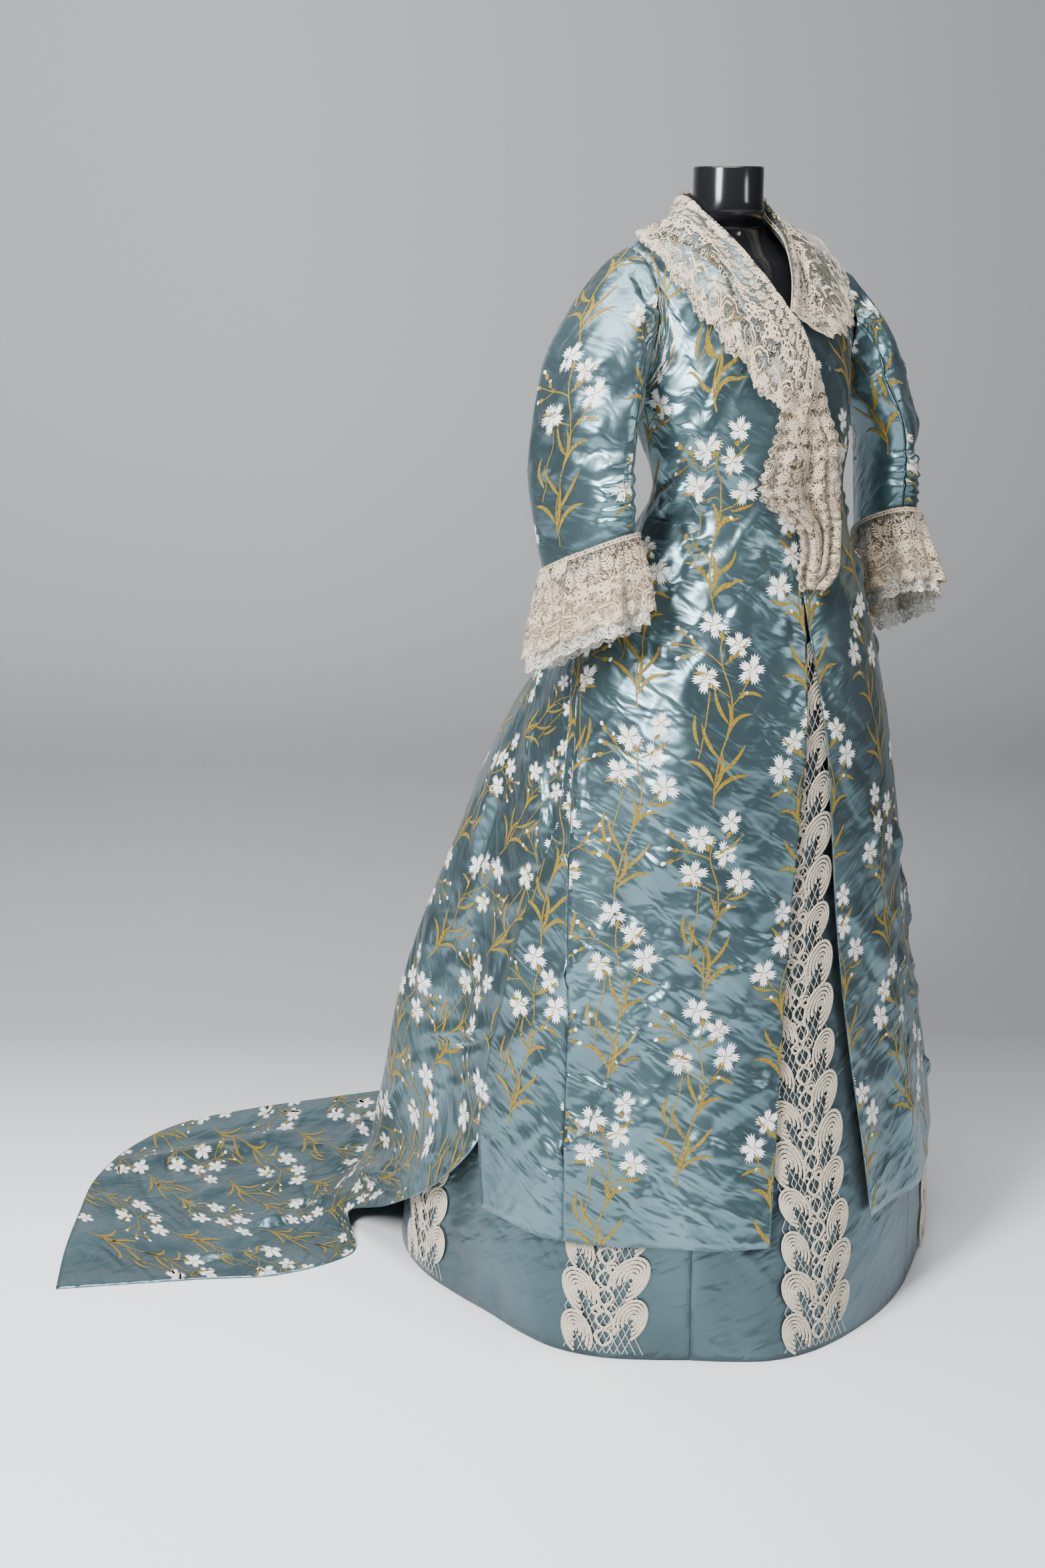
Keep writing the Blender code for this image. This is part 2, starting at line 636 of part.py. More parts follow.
# The collars. Each station is a line over the bodice, from the roll at the neck out to the edge:
# where it starts and ends, as columns and shares of the back (stations 0 to 3) or the front (3 on).
# Roll is how high the collar stands at the neck, base how far off the bodice it starts and lift how
# far off its edge hangs.
COLLARS = {
    "right": table(
        "number share to_number to_share roll base lift",
        (0.0, 1.00, 0.00, 0.80, 0.030, 0.0030, 0.012),
        (1.0, 1.00, 1.35, 0.79, 0.029, 0.0030, 0.012),
        (2.0, 1.00, 3.20, 0.80, 0.027, 0.0030, 0.012),
        (4.0, 1.00, 5.85, 1.00, 0.023, 0.0034, 0.010),
        (3.4, 1.00, 5.75, 0.84, 0.020, 0.0036, 0.008),
        (2.8, 1.00, 5.85, 0.68, 0.018, 0.0034, 0.008),
        (2.2, 1.00, 5.80, 0.52, 0.015, 0.0030, 0.008),
        (1.6, 1.00, 5.50, 0.34, 0.012, 0.0030, 0.008),
        (1.0, 1.00, 4.60, 0.20, 0.009, 0.0034, 0.008),
        (0.4, 1.00, 3.30, 0.08, 0.007, 0.0040, 0.008),
        (-0.1, 0.90, 2.20, -0.08, 0.005, 0.0080, 0.011),
        (-0.5, 0.62, 1.30, -0.22, 0.004, 0.0110, 0.014),
        (-0.8, 0.30, 0.40, -0.33, 0.004, 0.0120, 0.015),
    ),
    "left": table(
        "number share to_number to_share roll base lift",
        (0.0, 1.00, 0.00, 0.80, 0.030, 0.0030, 0.012),
        (1.0, 1.00, 1.35, 0.79, 0.029, 0.0030, 0.012),
        (2.0, 1.00, 2.90, 0.82, 0.027, 0.0030, 0.012),
        (4.0, 1.00, 5.60, 1.00, 0.023, 0.0030, 0.012),
        (3.4, 1.00, 5.95, 0.90, 0.020, 0.0030, 0.012),
        (2.8, 1.00, 6.15, 0.74, 0.017, 0.0030, 0.016),
        (2.2, 1.00, 6.40, 0.55, 0.014, 0.0030, 0.017),
        (1.6, 1.00, 6.10, 0.38, 0.011, 0.0030, 0.015),
        (1.1, 1.00, 5.20, 0.26, 0.009, 0.0030, 0.014),
        (0.7, 1.00, 4.00, 0.23, 0.007, 0.0030, 0.012),
        (0.4, 1.00, 2.80, 0.34, 0.005, 0.0030, 0.009),
        (0.2, 1.00, 1.60, 0.58, 0.004, 0.0030, 0.006),
    ),
}
SHOULDER_STATION = 3
COLLAR_COLUMNS = 18
# Places across the collar: below 0 it stands at the neck, 0 is the roll and 1 the edge of the lace
COLLAR_STAND = -0.12
SATIN_PLACES = (COLLAR_STAND, 0.0, 0.08, 0.20, 0.38, 0.60)
COLLAR_LACE_PLACES = (COLLAR_STAND, 0.0, 0.08, 0.20, 0.38, 0.60, 0.80, 1.0)
ROLL_FADE = 0.45
COLLAR_CLEAR = 0.0025
SCALLOP = 0.25
BODICE_MIDDLE = Vector((0.0, 0.0, 1.25))


def bodice_skin(tops, number, share, side):
    """A point of the bodice's inner face and the direction outwards from it."""
    step = 0.05
    share = min(share, 1 - step)
    place = yoke_column(tops, number, share, side)
    one = yoke_column(tops, number + step, share, side) - yoke_column(tops, number - step, share, side)
    two = yoke_column(tops, number, share + step, side) - yoke_column(tops, number, share - step, side)
    out = one.cross(two).normalized()
    return place, out if out.dot(place - BODICE_MIDDLE) > 0 else -out


def collar_point(side, station, place):
    """A point of the inner face of a collar's satin, carried on to the edge of its lace."""
    rows = COLLARS["left" if side > 0 else "right"]
    index = np.arange(len(rows["number"]), dtype=float)
    tops, last = (FRONT_TOP, 4.0) if station >= SHOULDER_STATION else (BACK_TOP, 3.0)
    picked = {name: column.copy() for name, column in rows.items()}
    if station < SHOULDER_STATION:
        picked["number"][SHOULDER_STATION] -= 1
        picked["to_number"][SHOULDER_STATION] -= 1
    number, share, to_number, to_share, roll, base, lift = (
        np.interp(station, index, picked[name]) for name in picked
    )
    edge = yoke_column(tops, min(number, last), share, side)
    out = bodice_skin(tops, min(number, last), share, side)[1]
    foot = edge + out * base + Vector((0.0, 0.0, COLLAR_CLEAR))
    top = foot + Vector((0.0, -0.2 * roll, roll))
    if place < 0:
        return mix(top, foot, place / COLLAR_STAND)
    across = mix(number, to_number, place)
    down = mix(share, to_share, place)
    skin = yoke_column(tops, across, down, side)
    away = bodice_skin(tops, across, down, side)[1]
    lowered = max(0.0, 1 - place / ROLL_FADE) ** 2
    return skin + away * mix(base, lift, place) + (top - foot) * lowered + Vector((0.0, 0.0, COLLAR_CLEAR * lowered))


def collar_surface(side, places, scallop=0.0):
    """The inner face of a collar's satin, or the same surface out to the scallops of its lace."""
    rows = len(places) - 1
    stations = len(COLLARS["left" if side > 0 else "right"]["number"]) - 1

    def plain(across, row):
        place = float(np.interp(row, np.arange(rows + 1), places))
        return collar_point(side, inside(across, COLLAR_LENGTH) * stations, place)

    def surface(across, down):
        row = down * rows
        if row > rows - 0.5 and round(across * COLLAR_COLUMNS) % 2:
            row -= scallop
        return plain(across, row)

    return surface, COLLAR_COLUMNS, rows


COLLAR_LENGTH = 0.08

# The jabot: its edges and how far it stands off the bodice
JABOT = table(
    "height left right off",
    (1.322, 0.004, 0.020, 0.0010),
    (1.290, 0.006, 0.034, 0.0015),
    (1.262, -0.020, 0.040, 0.0030),
    (1.232, -0.038, 0.047, 0.0040),
    (1.206, -0.050, 0.055, 0.0080),
    (1.180, -0.062, 0.063, 0.0130),
    (1.149, -0.069, 0.065, 0.0170),
    (1.125, -0.064, 0.066, 0.0180),
    (1.104, -0.036, 0.062, 0.0180),
    (1.085, -0.014, 0.058, 0.0160),
    (1.057, -0.010, 0.052, 0.0140),
    (1.032, -0.018, 0.044, 0.0120),
    (1.014, -0.010, 0.012, 0.0100),
)
# Where the front of the bodice lies, and how fast it curves away to the sides
FRONT_LINE = table(
    "height y",
    (0.985, -0.1830), (1.020, -0.1750), (1.080, -0.1640), (1.134, -0.1590), (1.190, -0.1680),
    (1.250, -0.1600), (1.280, -0.1540), (1.310, -0.1452), (1.342, -0.1342),
)
FRONT_CURVE = 2.6
JABOT_FOLDS = table(
    "share depth width",
    (0.20, 0.0070, 0.22),
    (0.52, -0.0050, 0.20),
    (0.78, 0.0080, 0.22),
)


def jabot_surface(columns=10, rows=12):

    def surface(across, down):
        height = float(np.interp(down * rows, np.arange(rows + 1), JABOT["height"]))
        left, right, off = (float(np.interp(down * rows, np.arange(rows + 1), JABOT[name])) for name in ("left", "right", "off"))
        x = mix(left, right, across)
        fold = sum(
            depth * bump(across, share, width)
            for share, depth, width in zip(*(JABOT_FOLDS[name] for name in ("share", "depth", "width")))
        )
        y = along(FRONT_LINE["height"], FRONT_LINE["y"], height) + FRONT_CURVE * x * x
        return Vector((x, y - off - fold * ease(4 * (down - 0.3)), height))

    return surface, columns, rows


# The underskirt, and the tape lace on it
SKIRT_INSET = table("height inset", (0.0, 0.008), (0.165, 0.012), (0.60, 0.012), (1.00, 0.009), (1.055, 0.0045), (1.095, 0.0046))
SKIRT_HEIGHTS = (SKIRT_TOP, 1.055, 1.010, 0.950, 0.880, 0.750, 0.600, 0.450, 0.300, 0.150, 0.0008)
SKIRT_PANELS = {
    "front": (-40.0, 40.0, 8),
    "right": (-145.0, -40.0, 10),
    "left": (40.0, 145.0, 10),
    "back": (145.0, 215.0, 6),
}
# Turn of each band's middle, its top, its panel and how far its top row stands off the underskirt
BANDS = {
    "centre": (-6.5, 0.950, "front", 0.0014),
    "right": (-60.0, 0.240, "right", 0.0013),
    "right_back": (-114.5, 0.350, "right", 0.0020),
    "left": (68.7, 0.240, "left", 0.0010),
    "left_back": (120.0, 0.350, "left", 0.0019),
}
BAND_BOTTOM = 0.006
BAND_WIDTH = 0.130
# A repeat of the lace: the rows of its grid, its columns, and the openings as (column, row)
REPEAT = 0.090
REPEAT_ROWS = (0.0, 0.026, 0.050, 0.066)
BAND_COLUMNS = (0.0, 0.13, 0.34, 0.45, 0.66, 0.75, 0.92, 1.0)
BAND_OPENINGS = ((1, 1), (3, 0), (3, 2), (5, 3))
BAND_SCALLOP = 0.006
BAND_GAP = 0.0030
# How far the openings swing across the band, as a share of it, and rise and fall
BAND_SWING, BAND_LILT = 0.045, 0.006


def skirt_reach(turn, height):
    if turn > 180:
        turn -= 360
    sizes = (section(height, name) for name in ("under_side", "centre_y", "front", "under_back"))
    inset = float(np.interp(height, SKIRT_INSET["height"], SKIRT_INSET["inset"]))
    return oval(turn, *sizes) + sway(turn, height) - inset


def skirt_surface(panel):
    start, end, columns = SKIRT_PANELS[panel]
    rows = len(SKIRT_HEIGHTS) - 1

    def surface(across, down):
        height = float(np.interp(down * rows, np.arange(rows + 1), SKIRT_HEIGHTS))
        turn = mix(start, end, inside(across, 0.3))
        return around(turn, skirt_reach(turn, height), height)

    return surface, columns, rows


def faceted(surface, columns, rows):
    """The same surface as the flat cells that it is built in."""
    nodes = [[surface(i / columns, k / rows) for i in range(columns + 1)] for k in range(rows + 1)]

    def flat(across, down):
        x, y = min(max(across, 0.0), 1.0) * columns, min(max(down, 0.0), 1.0) * rows
        i, k = min(int(x), columns - 1), min(int(y), rows - 1)
        x, y = x - i, y - k
        near, far = nodes[k][i], nodes[k + 1][i + 1]
        if x > y:
            return near + (nodes[k][i + 1] - near) * (x - y) + (far - near) * y
        return near + (nodes[k + 1][i] - near) * (y - x) + (far - near) * x

    return flat


def band_rows(top):
    """Heights of a band's grid lines, from the top down."""
    heights = []
    base = top
    while True:
        for drop in REPEAT_ROWS:
            if base - drop < BAND_BOTTOM + 0.010:
                return heights + [BAND_BOTTOM]
            heights.append(base - drop)
        base -= REPEAT


def band_surface(name):
    """A band of tape lace on the underskirt, and its openings."""
    middle, top, panel, top_gap = BANDS[name]
    start, end, _ = SKIRT_PANELS[panel]
    skirt = faceted(*skirt_surface(panel))
    heights = band_rows(top)
    columns, rows = len(BAND_COLUMNS) - 1, len(heights) - 1

    def surface(across, down):
        row = down * rows
        height = float(np.interp(row, np.arange(rows + 1), heights))
        share = float(np.interp(across * columns, np.arange(columns + 1), BAND_COLUMNS))
        if 0 < across < 1 and 0 < down < 1:
            share += BAND_SWING * math.sin(2 * math.pi * (top - height) / REPEAT)
            height += BAND_LILT * math.sin(2 * math.pi * share * 1.6)
        half = 0.5 * BAND_WIDTH + BAND_SCALLOP * math.cos(2 * math.pi * (top - height) / REPEAT)
        turn = middle + math.degrees((2 * share - 1) * half / skirt_reach(middle, height))
        level = float(np.interp(-height, -np.array(SKIRT_HEIGHTS), np.linspace(0, 1, len(SKIRT_HEIGHTS))))
        place = skirt((turn - start) / (end - start), level)
        out = around(turn, 1.0, 0.0)
        return place + out * (SKIRT_WALL + (BAND_GAP if row > 0.5 else top_gap))

    holes = [
        (column, row) for row in range(rows - 1) for column, step in BAND_OPENINGS if row % len(REPEAT_ROWS) == step
    ]
    return surface, columns, rows, holes


# The limbless dress form, as ovals like the body's. A power below 2 makes an oval more pointed.
FORM = table(
    "height half_width centre_y front back power",
    (1.320, 0.1490, -0.015, 0.110, 0.094, 2.00),
    (1.360, 0.1470, -0.006, 0.096, 0.084, 2.00),
    (1.390, 0.1450, 0.001, 0.081, 0.074, 1.90),
    (1.412, 0.1420, 0.005, 0.068, 0.062, 1.70),
    (1.4290, 0.1385, 0.011, 0.054, 0.046, 1.35),
    (1.4460, 0.1020, 0.012, 0.044, 0.034, 1.30),
    (1.4590, 0.0700, 0.010, 0.042, 0.032, 1.50),
    (1.4700, 0.0510, 0.003, 0.045, 0.040, 1.90),
    (1.4800, 0.0475, 0.000, 0.0475, 0.0475, 2.00),
)
FORM_INSET = 0.0029
FORM_SEGMENTS = 24
FORM_LOWER = (FORM_BOTTOM, 0.950, 1.010, 1.070, 1.110, 1.150, 1.200, 1.250)
NECK_HEIGHTS = (1.500, 1.5315)


def form_ring(height):
    """Points round the form at that height."""
    points = []
    for k in range(FORM_SEGMENTS):
        turn = -180 + 360 * k / FORM_SEGMENTS
        if height <= UNDERARM:
            back = "under_back" if height < 1.1 else "back"
            side = "under_side" if height < 1.1 else "half_width"
            reach = oval(turn, section(height, side), section(height, "centre_y"), section(height, "front"), section(height, back))
            inset = float(np.interp(height, SKIRT_INSET["height"], SKIRT_INSET["inset"])) + FORM_INSET
            points.append(around(turn, reach - inset, height))
            continue
        half, centre, front, rear, power = (along(FORM["height"], FORM[name], height) for name in ("half_width", "centre_y", "front", "back", "power"))
        sine, cosine = math.sin(math.radians(turn)), -math.cos(math.radians(turn))
        depth = front if cosine < 0 else rear
        size = (abs(sine) ** power + abs(cosine) ** power) ** (-1 / power)
        points.append(Vector((half * sine * size, centre + depth * cosine * size, height)))
    return points


def lathe_rings(name, rings, colour, roughness, metallic=0.0):
    """A closed solid from rings of points, the first and the last of them capped."""
    bm = bmesh.new()
    made = [[bm.verts.new(point) for point in ring] for ring in rings]
    for lower, upper in zip(made, made[1:]):
        for k in range(len(lower)):
            n = (k + 1) % len(lower)
            bm.faces.new((lower[k], lower[n], upper[n], upper[k]))
    bm.faces.new(list(reversed(made[0])))
    bm.faces.new(made[-1])
    bmesh.ops.recalc_face_normals(bm, faces=bm.faces)
    return add_object(name, bm, colour, roughness, metallic)


def circle(radius, height, segments):
    return [around(360 * k / segments - 180, radius, height) for k in range(segments)]


def add_form():
    heights = FORM_LOWER + (1.285,) + tuple(FORM["height"])
    rings = [form_ring(height) for height in heights]
    rings += [circle(NECK_RADIUS, height, FORM_SEGMENTS) for height in NECK_HEIGHTS]
    rings.append(circle(NECK_RADIUS - 0.0012, NECK_TOP, FORM_SEGMENTS))
    rings.append(circle(NECK_BORE, NECK_TOP, FORM_SEGMENTS))
    rings.append(circle(NECK_BORE, NECK_TOP - NECK_BORE_DEPTH, FORM_SEGMENTS))
    lathe_rings("form_torso", rings, BLACK, 0.15)


def add_stand(segments=32):
    """The pole and its round foot, a profile turned round the axis."""
    profile = (
        (0.0, FORM_BOTTOM - SEAM_GAP),
        (POLE_RADIUS, FORM_BOTTOM - SEAM_GAP),
        (POLE_RADIUS, FOOT_THICKNESS + 0.006),
        (POLE_RADIUS + 0.006, FOOT_THICKNESS),
        (FOOT_RADIUS - 0.004, FOOT_THICKNESS),
        (FOOT_RADIUS, FOOT_THICKNESS - 0.004),
        (FOOT_RADIUS, 0.002),
        (FOOT_RADIUS - 0.002, 0.0),
        (0.0, 0.0),
    )
    bm = bmesh.new()
    corners = [bm.verts.new((radius, 0.0, height)) for radius, height in profile]
    for start, end in zip(corners, corners[1:]):
        bm.edges.new((start, end))
    stand = add_object("form_stand", bm, STEEL, 0.35, 1.0)
    turn = stand.modifiers.new("turn", "SCREW")
    turn.steps = turn.render_steps = segments
    turn.use_merge_vertices = True
    turn.merge_threshold = 0.0001
    turn.use_smooth_shade = True


# Clear the scene, and make the collection that holds the gown
for old in list(bpy.data.objects):
    bpy.data.objects.remove(old, do_unlink=True)
gown = bpy.data.collections.new("reception_gown")
bpy.context.scene.collection.children.link(gown)

add_form()
add_stand()

SIDES = {"right": -1, "left": 1}
for label, side in SIDES.items():
    for piece, maker in (("front", front_surface), ("side", side_surface), ("back", back_surface)):
        wall(f"{label}_{piece}", *maker(side), SATIN_WALL, BLUE, -side)
    wall(f"{label}_sleeve_upper", *sleeve_surface(side, 0, 180, 10), SATIN_WALL, BLUE, -side)
    wall(f"{label}_sleeve_under", *sleeve_surface(side, -180, 0, 6), SATIN_WALL, BLUE, -side)
    wall(f"{label}_cuff_front", *cuff_surface(side, -90, 90), LACE_WALL, CREAM, -side)
    wall(f"{label}_cuff_back", *cuff_surface(side, 90, 270), LACE_WALL, CREAM, -side)
    wall(f"{label}_collar", *collar_surface(side, SATIN_PLACES), SATIN_WALL, PLAIN_BLUE, side)
    lace = collar_surface(side, COLLAR_LACE_PLACES, SCALLOP)
    wall(f"{label}_collar_lace", *lace, LACE_WALL, CREAM, side, raised=SATIN_WALL + LAY_GAP)

wall("jabot", *jabot_surface(), LACE_WALL, CREAM, -1)
for panel in SKIRT_PANELS:
    wall(f"underskirt_{panel}", *skirt_surface(panel), SKIRT_WALL, PLAIN_BLUE, -1)
for name in BANDS:
    *lace, holes = band_surface(name)
    wall(f"lace_band_{name}", *lace, TAPE_WALL, CREAM, -1, holes)
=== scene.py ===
# %% [markdown]
# A reception gown with a train, on a limbless dress form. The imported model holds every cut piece
# as a wall of cloth, and this lesson dresses those walls: light blue satin with woven pinks, a
# plain satin underskirt with bands of tape lace, and cream lace at the neck, front and cuffs.
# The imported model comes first, because every piece here has to lie where its wall lies.

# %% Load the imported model
import math

import bmesh
import bpy
import numpy as np
from mathutils import Matrix, Vector


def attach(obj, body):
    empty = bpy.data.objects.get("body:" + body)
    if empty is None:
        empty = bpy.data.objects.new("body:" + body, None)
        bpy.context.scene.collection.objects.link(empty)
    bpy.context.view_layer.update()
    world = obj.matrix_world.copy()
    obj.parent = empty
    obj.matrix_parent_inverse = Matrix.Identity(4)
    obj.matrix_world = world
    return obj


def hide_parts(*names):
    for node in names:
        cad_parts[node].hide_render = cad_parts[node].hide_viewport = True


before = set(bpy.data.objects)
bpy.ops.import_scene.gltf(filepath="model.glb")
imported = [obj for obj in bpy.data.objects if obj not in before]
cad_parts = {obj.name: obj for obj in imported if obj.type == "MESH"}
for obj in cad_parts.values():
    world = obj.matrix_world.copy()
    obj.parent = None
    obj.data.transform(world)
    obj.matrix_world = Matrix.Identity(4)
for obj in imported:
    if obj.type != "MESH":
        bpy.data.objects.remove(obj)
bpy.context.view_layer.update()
print("cad nodes:", len(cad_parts))

# %% [markdown]
# The body of the gown is an oval at each height, and each seam is a line of turns down it. A turn
# is an angle round the form's axis: 0 is the front, 90 the wearer's left, -90 the right. The
# packed walls were made from these same named sizes, so the fine cloth worked out from them here
# falls on the walls, seam for seam. Lengths are in metres, and in millimetres where a table says so.

# %% Walls, gaps and heights
SATIN_WALL, SKIRT_WALL, LACE_WALL = 0.0018, 0.0015, 0.0012
SEAM_GAP, LAY_GAP = 0.0003, 0.0004
UNDERARM, SLIT_TOP = 1.250, 0.800
print("underarm", UNDERARM, "m up, satin wall", SATIN_WALL, "m")


# %% Helpers for tables and curves
def table(names, *rows):
    """A table with named columns, as arrays. A column whose name ends in _mm is given in
    millimetres, and kept in metres under the rest of its name."""
    return {
        name.removesuffix("_mm"): np.array(column, float) / (1000 if name.endswith("_mm") else 1)
        for name, column in zip(names.split(), zip(*rows))
    }


def along(xs, ys, x):
    """A smooth curve through (xs, ys), with xs rising."""
    x = min(max(x, xs[0]), xs[-1])
    i = min(max(int(np.searchsorted(xs, x)) - 1, 0), len(xs) - 2)
    slopes = np.gradient(ys, xs)
    step = xs[i + 1] - xs[i]
    t = (x - xs[i]) / step
    start, end = slopes[i] * step, slopes[i + 1] * step
    rise = ys[i + 1] - ys[i]
    return ys[i] + start * t + (3 * rise - 2 * start - end) * t**2 + (start + end - 2 * rise) * t**3


def look(rows, x, names=""):
    """Smooth values of a table's named columns, or of all but its first, where its first is x."""
    xs = rows[next(iter(rows))]
    return [along(xs, rows[name], x) for name in names.split() or list(rows)[1:]]


def stepped(values, place):
    """The value at a place between the steps of a list."""
    return float(np.interp(place, np.arange(len(values)), values))


def mix(a, b, share):
    return a + (b - a) * share


def ease(x):
    """0 below 0, 1 above 1, and smooth between."""
    x = min(max(x, 0.0), 1.0)
    return x * x * (3 - 2 * x)


def bump(x, centre, width):
    """1 at the centre, and 0 from a width away."""
    return ease(1 - abs(x - centre) / width)


def turned(degrees):
    """Cosine and sine of an angle."""
    return math.cos(math.radians(degrees)), math.sin(math.radians(degrees))


# %% The body of the gown
# The overdress from the floor to the underarm, as an oval at each height. The oval's centre lies
# centre_y behind the axis. Front and back are its depths from there, and under_side and under_back
# are the underskirt's, which leave room for the gathers of the train.
BODY = table(
    "height_mm half_width_mm centre_y_mm front_mm back_mm under_side_mm under_back_mm",
    (0, 385, 90, 395, 430, 385, 400), (165, 385, 90, 390, 460, 378, 390),
    (300, 372, 90, 360, 438, 358, 375), (400, 355, 90, 340, 405, 338, 355),
    (500, 335, 85, 320, 376, 316, 330), (600, 315, 70, 295, 349, 296, 305),
    (700, 290, 55, 275, 320, 273, 275), (800, 258, 30, 245, 285, 245, 240),
    (900, 222, 0, 200, 232, 214, 195), (950, 203, -15, 175, 203, 198, 175),
    (1020, 176, -35, 138, 165, 174, 150), (1080, 149, -50, 112, 125, 149, 122),
    (1134, 134, -59, 98, 100, 134, 100), (1190, 144, -48, 118, 110, 144, 110),
    (1250, 157, -28, 130, 115, 157, 115),
)
# How far the hem swings out of its oval, all of it at the floor and none at SWAY_TOP
SWAY_TOP = 0.62
HEM_SWAY = table(
    "turn out_mm",
    (-180, 0), (-122, 12), (-95, -14), (-69, 10), (-40, -4), (-18, 12), (11, -8), (35, -18), (58, -16),
    (76, 10), (100, 10), (140, -8), (180, 0),
)
# Soft folds that hang in the overdress: depth outwards at the hem, width in degrees
HANGING_FOLDS = table(
    "turn depth_mm width top",
    (-74, 9, 12, 0.8), (-50, -6, 10, 0.6), (-34, 6, 9, 0.55), (22, -6, 10, 0.75), (38, 8, 12, 0.85),
    (66, -8, 12, 0.85), (84, 9, 12, 0.8),
)


def oval(turn, half_width, centre_y, front, back):
    """The reach from the axis to an oval, in the direction of the turn."""
    cosine, sine = turned(turn)
    for depth in (front, back):
        a = (sine / half_width) ** 2 + (cosine / depth) ** 2
        b = 2 * cosine * centre_y / depth**2
        c = (centre_y / depth) ** 2 - 1
        reach = (-b + math.sqrt(b * b - 4 * a * c)) / (2 * a)
        if depth == front and -reach * cosine <= centre_y:
            return reach
    return reach


def sway(turn, height):
    return max(0.0, 1 - height / SWAY_TOP) ** 1.5 * look(HEM_SWAY, turn)[0]


def body_reach(turn, height):
    reach = oval(turn, *look(BODY, height, "half_width centre_y front back")) + sway(turn, height)
    for place, depth, width, top in zip(*HANGING_FOLDS.values()):
        reach += depth * bump(turn, place, width) * max(0.0, 1 - height / top)
    return reach


def around(turn, reach, height):
    """The point at that turn, reach and height."""
    cosine, sine = turned(turn)
    return Vector((reach * sine, -reach * cosine, height))


def on_body(turn, height):
    return around(turn, body_reach(turn, height), height)


# Seams and free edges of the wearer's right side, as turns at each height. The left side mirrors
# the seams. The fronts part below the highest row of OPENING.
RIGHT_SEAMS = table(
    "height_mm front_seam back_seam",
    (165, -68.5, -92), (300, -70.5, -94.5), (450, -73.5, -93), (600, -77, -89), (700, -79.5, -84.5),
    (800, -83, -86), (880, -88, -92), (950, -94, -102), (1020, -92, -110), (1134, -86, -118),
    (1250, -84, -112),
)
OPENING = table(
    "height_mm right left",
    (165, -21, 12), (300, -18, 12), (450, -14, 10.5), (600, -10, 8.5), (750, -6, 6), (900, -2, 2.5),
    (985, 0, 0),
)


def seam(side, name, height):
    return -side * look(RIGHT_SEAMS, height, name)[0]


waist = [on_body(turn, 1.134) for turn in range(0, 361, 5)]
print("waist round", round(sum((b - a).length for a, b in zip(waist, waist[1:])), 3), "m")

# %% [markdown]
# Above the underarm the bodice narrows to the neck and the shoulders. A column of cloth is a curve
# there: it leaves the body upwards and arrives at a point of the neckline, shoulder or armhole.

# %% Armholes, shoulders and neck
# The armhole of the wearer's right side. The place goes round it: 90 at the shoulder, 0 in front,
# -90 under the arm.
ARMHOLE = table(
    "place x_mm y_mm z_mm",
    (-180, -157, 66, 1338), (-150, -158, 55, 1295), (-120, -157, 28, 1270), (-90, -157, -5, 1264),
    (-60, -157, -35, 1272), (-30, -160, -62, 1298), (0, -160, -73, 1338), (30, -150, -62, 1375),
    (60, -142, -30, 1412), (90, -143, 12, 1432), (120, -146, 40, 1416), (150, -152, 58, 1382),
    (180, -157, 66, 1338),
)
# Points of the right shoulder, in millimetres
NECK_POINT, SHOULDER_MIDDLE, SHOULDER_POINT = (-66, 12, 1466), (-105, 13, 1450), (-143, 12, 1432)


def armhole(side, place):
    x, y, z = look(ARMHOLE, place)
    return Vector((-side * x, y, z))


# The top edge of each bodice panel, from the centre or its front seam outwards. Each row is the
# turn where a column of cloth starts at the underarm, the point where it ends, and the direction in
# which it arrives.
FRONT_TOP = table(
    "turn x_mm y_mm z_mm to_x to_y to_z",
    (0, 0, -134, 1342, 0, 0.35, 1), (-8, -16, -118, 1368, 0, 0.45, 1), (-16, -34, -92, 1400, 0, 0.55, 1),
    (-24, -52, -50, 1436, 0, 0.8, 0.9), (-31, *NECK_POINT, 0, 1, 0.25), (-38, *SHOULDER_MIDDLE, 0, 1, 0.3),
    (-45, *SHOULDER_POINT, 0, 1, 0.35), (-54, -142, -30, 1412, 0, 0.6, 1),
    (-64, -153, -67, 1362, -0.1, 0.3, 1), (-74, -160, -62, 1298, -0.1, 0, 1),
    (-84, -157, -35, 1272, -0.1, 0, 1),
)
BACK_TOP = table(
    "turn x_mm y_mm z_mm to_x to_y to_z",
    (-180, 0, 74, 1470, 0, -0.25, 1), (-171, -24, 68, 1469, 0, -0.3, 1),
    (-162, -48, 46, 1467, 0, -0.7, 0.8), (-154, *NECK_POINT, 0, -1, 0.25),
    (-146, *SHOULDER_MIDDLE, 0, -1, 0.3), (-138, *SHOULDER_POINT, 0, -1, 0.35),
    (-130, -149, 52, 1398, 0, -0.4, 1), (-121, -156, 66, 1345, -0.1, -0.1, 1),
    (-112, -158, 55, 1296, -0.1, 0, 1),
)
SIDE_TOP_PLACES = (-60, -150)
SHOULDER_SPLIT = 0.0005
# Which column of BACK_TOP each of a back's columns ends in
BACK_COLUMNS = (0, 0.75, 1.5, 2.25, 3, 4, 5, 5.75, 6.5, 7.25, 8)
SHARE_DROP = 0.1
# How much of its last column a front or a back stops short by, for the side piece
YOKE_EDGE = 0.08


def yoke(turn, top, arrival, share):
    """A column of cloth from the underarm line up to its top point."""
    base, lower = on_body(turn, UNDERARM), on_body(turn, UNDERARM - 0.01)
    reach = (top - base).length
    start = (base - lower).normalized() * reach
    end = arrival.normalized() * reach
    t = share
    return (
        base * (1 - 3 * t * t + 2 * t**3)
        + top * (3 * t * t - 2 * t**3)
        + start * (t - 2 * t * t + t**3)
        + end * (t**3 - t * t)
    )


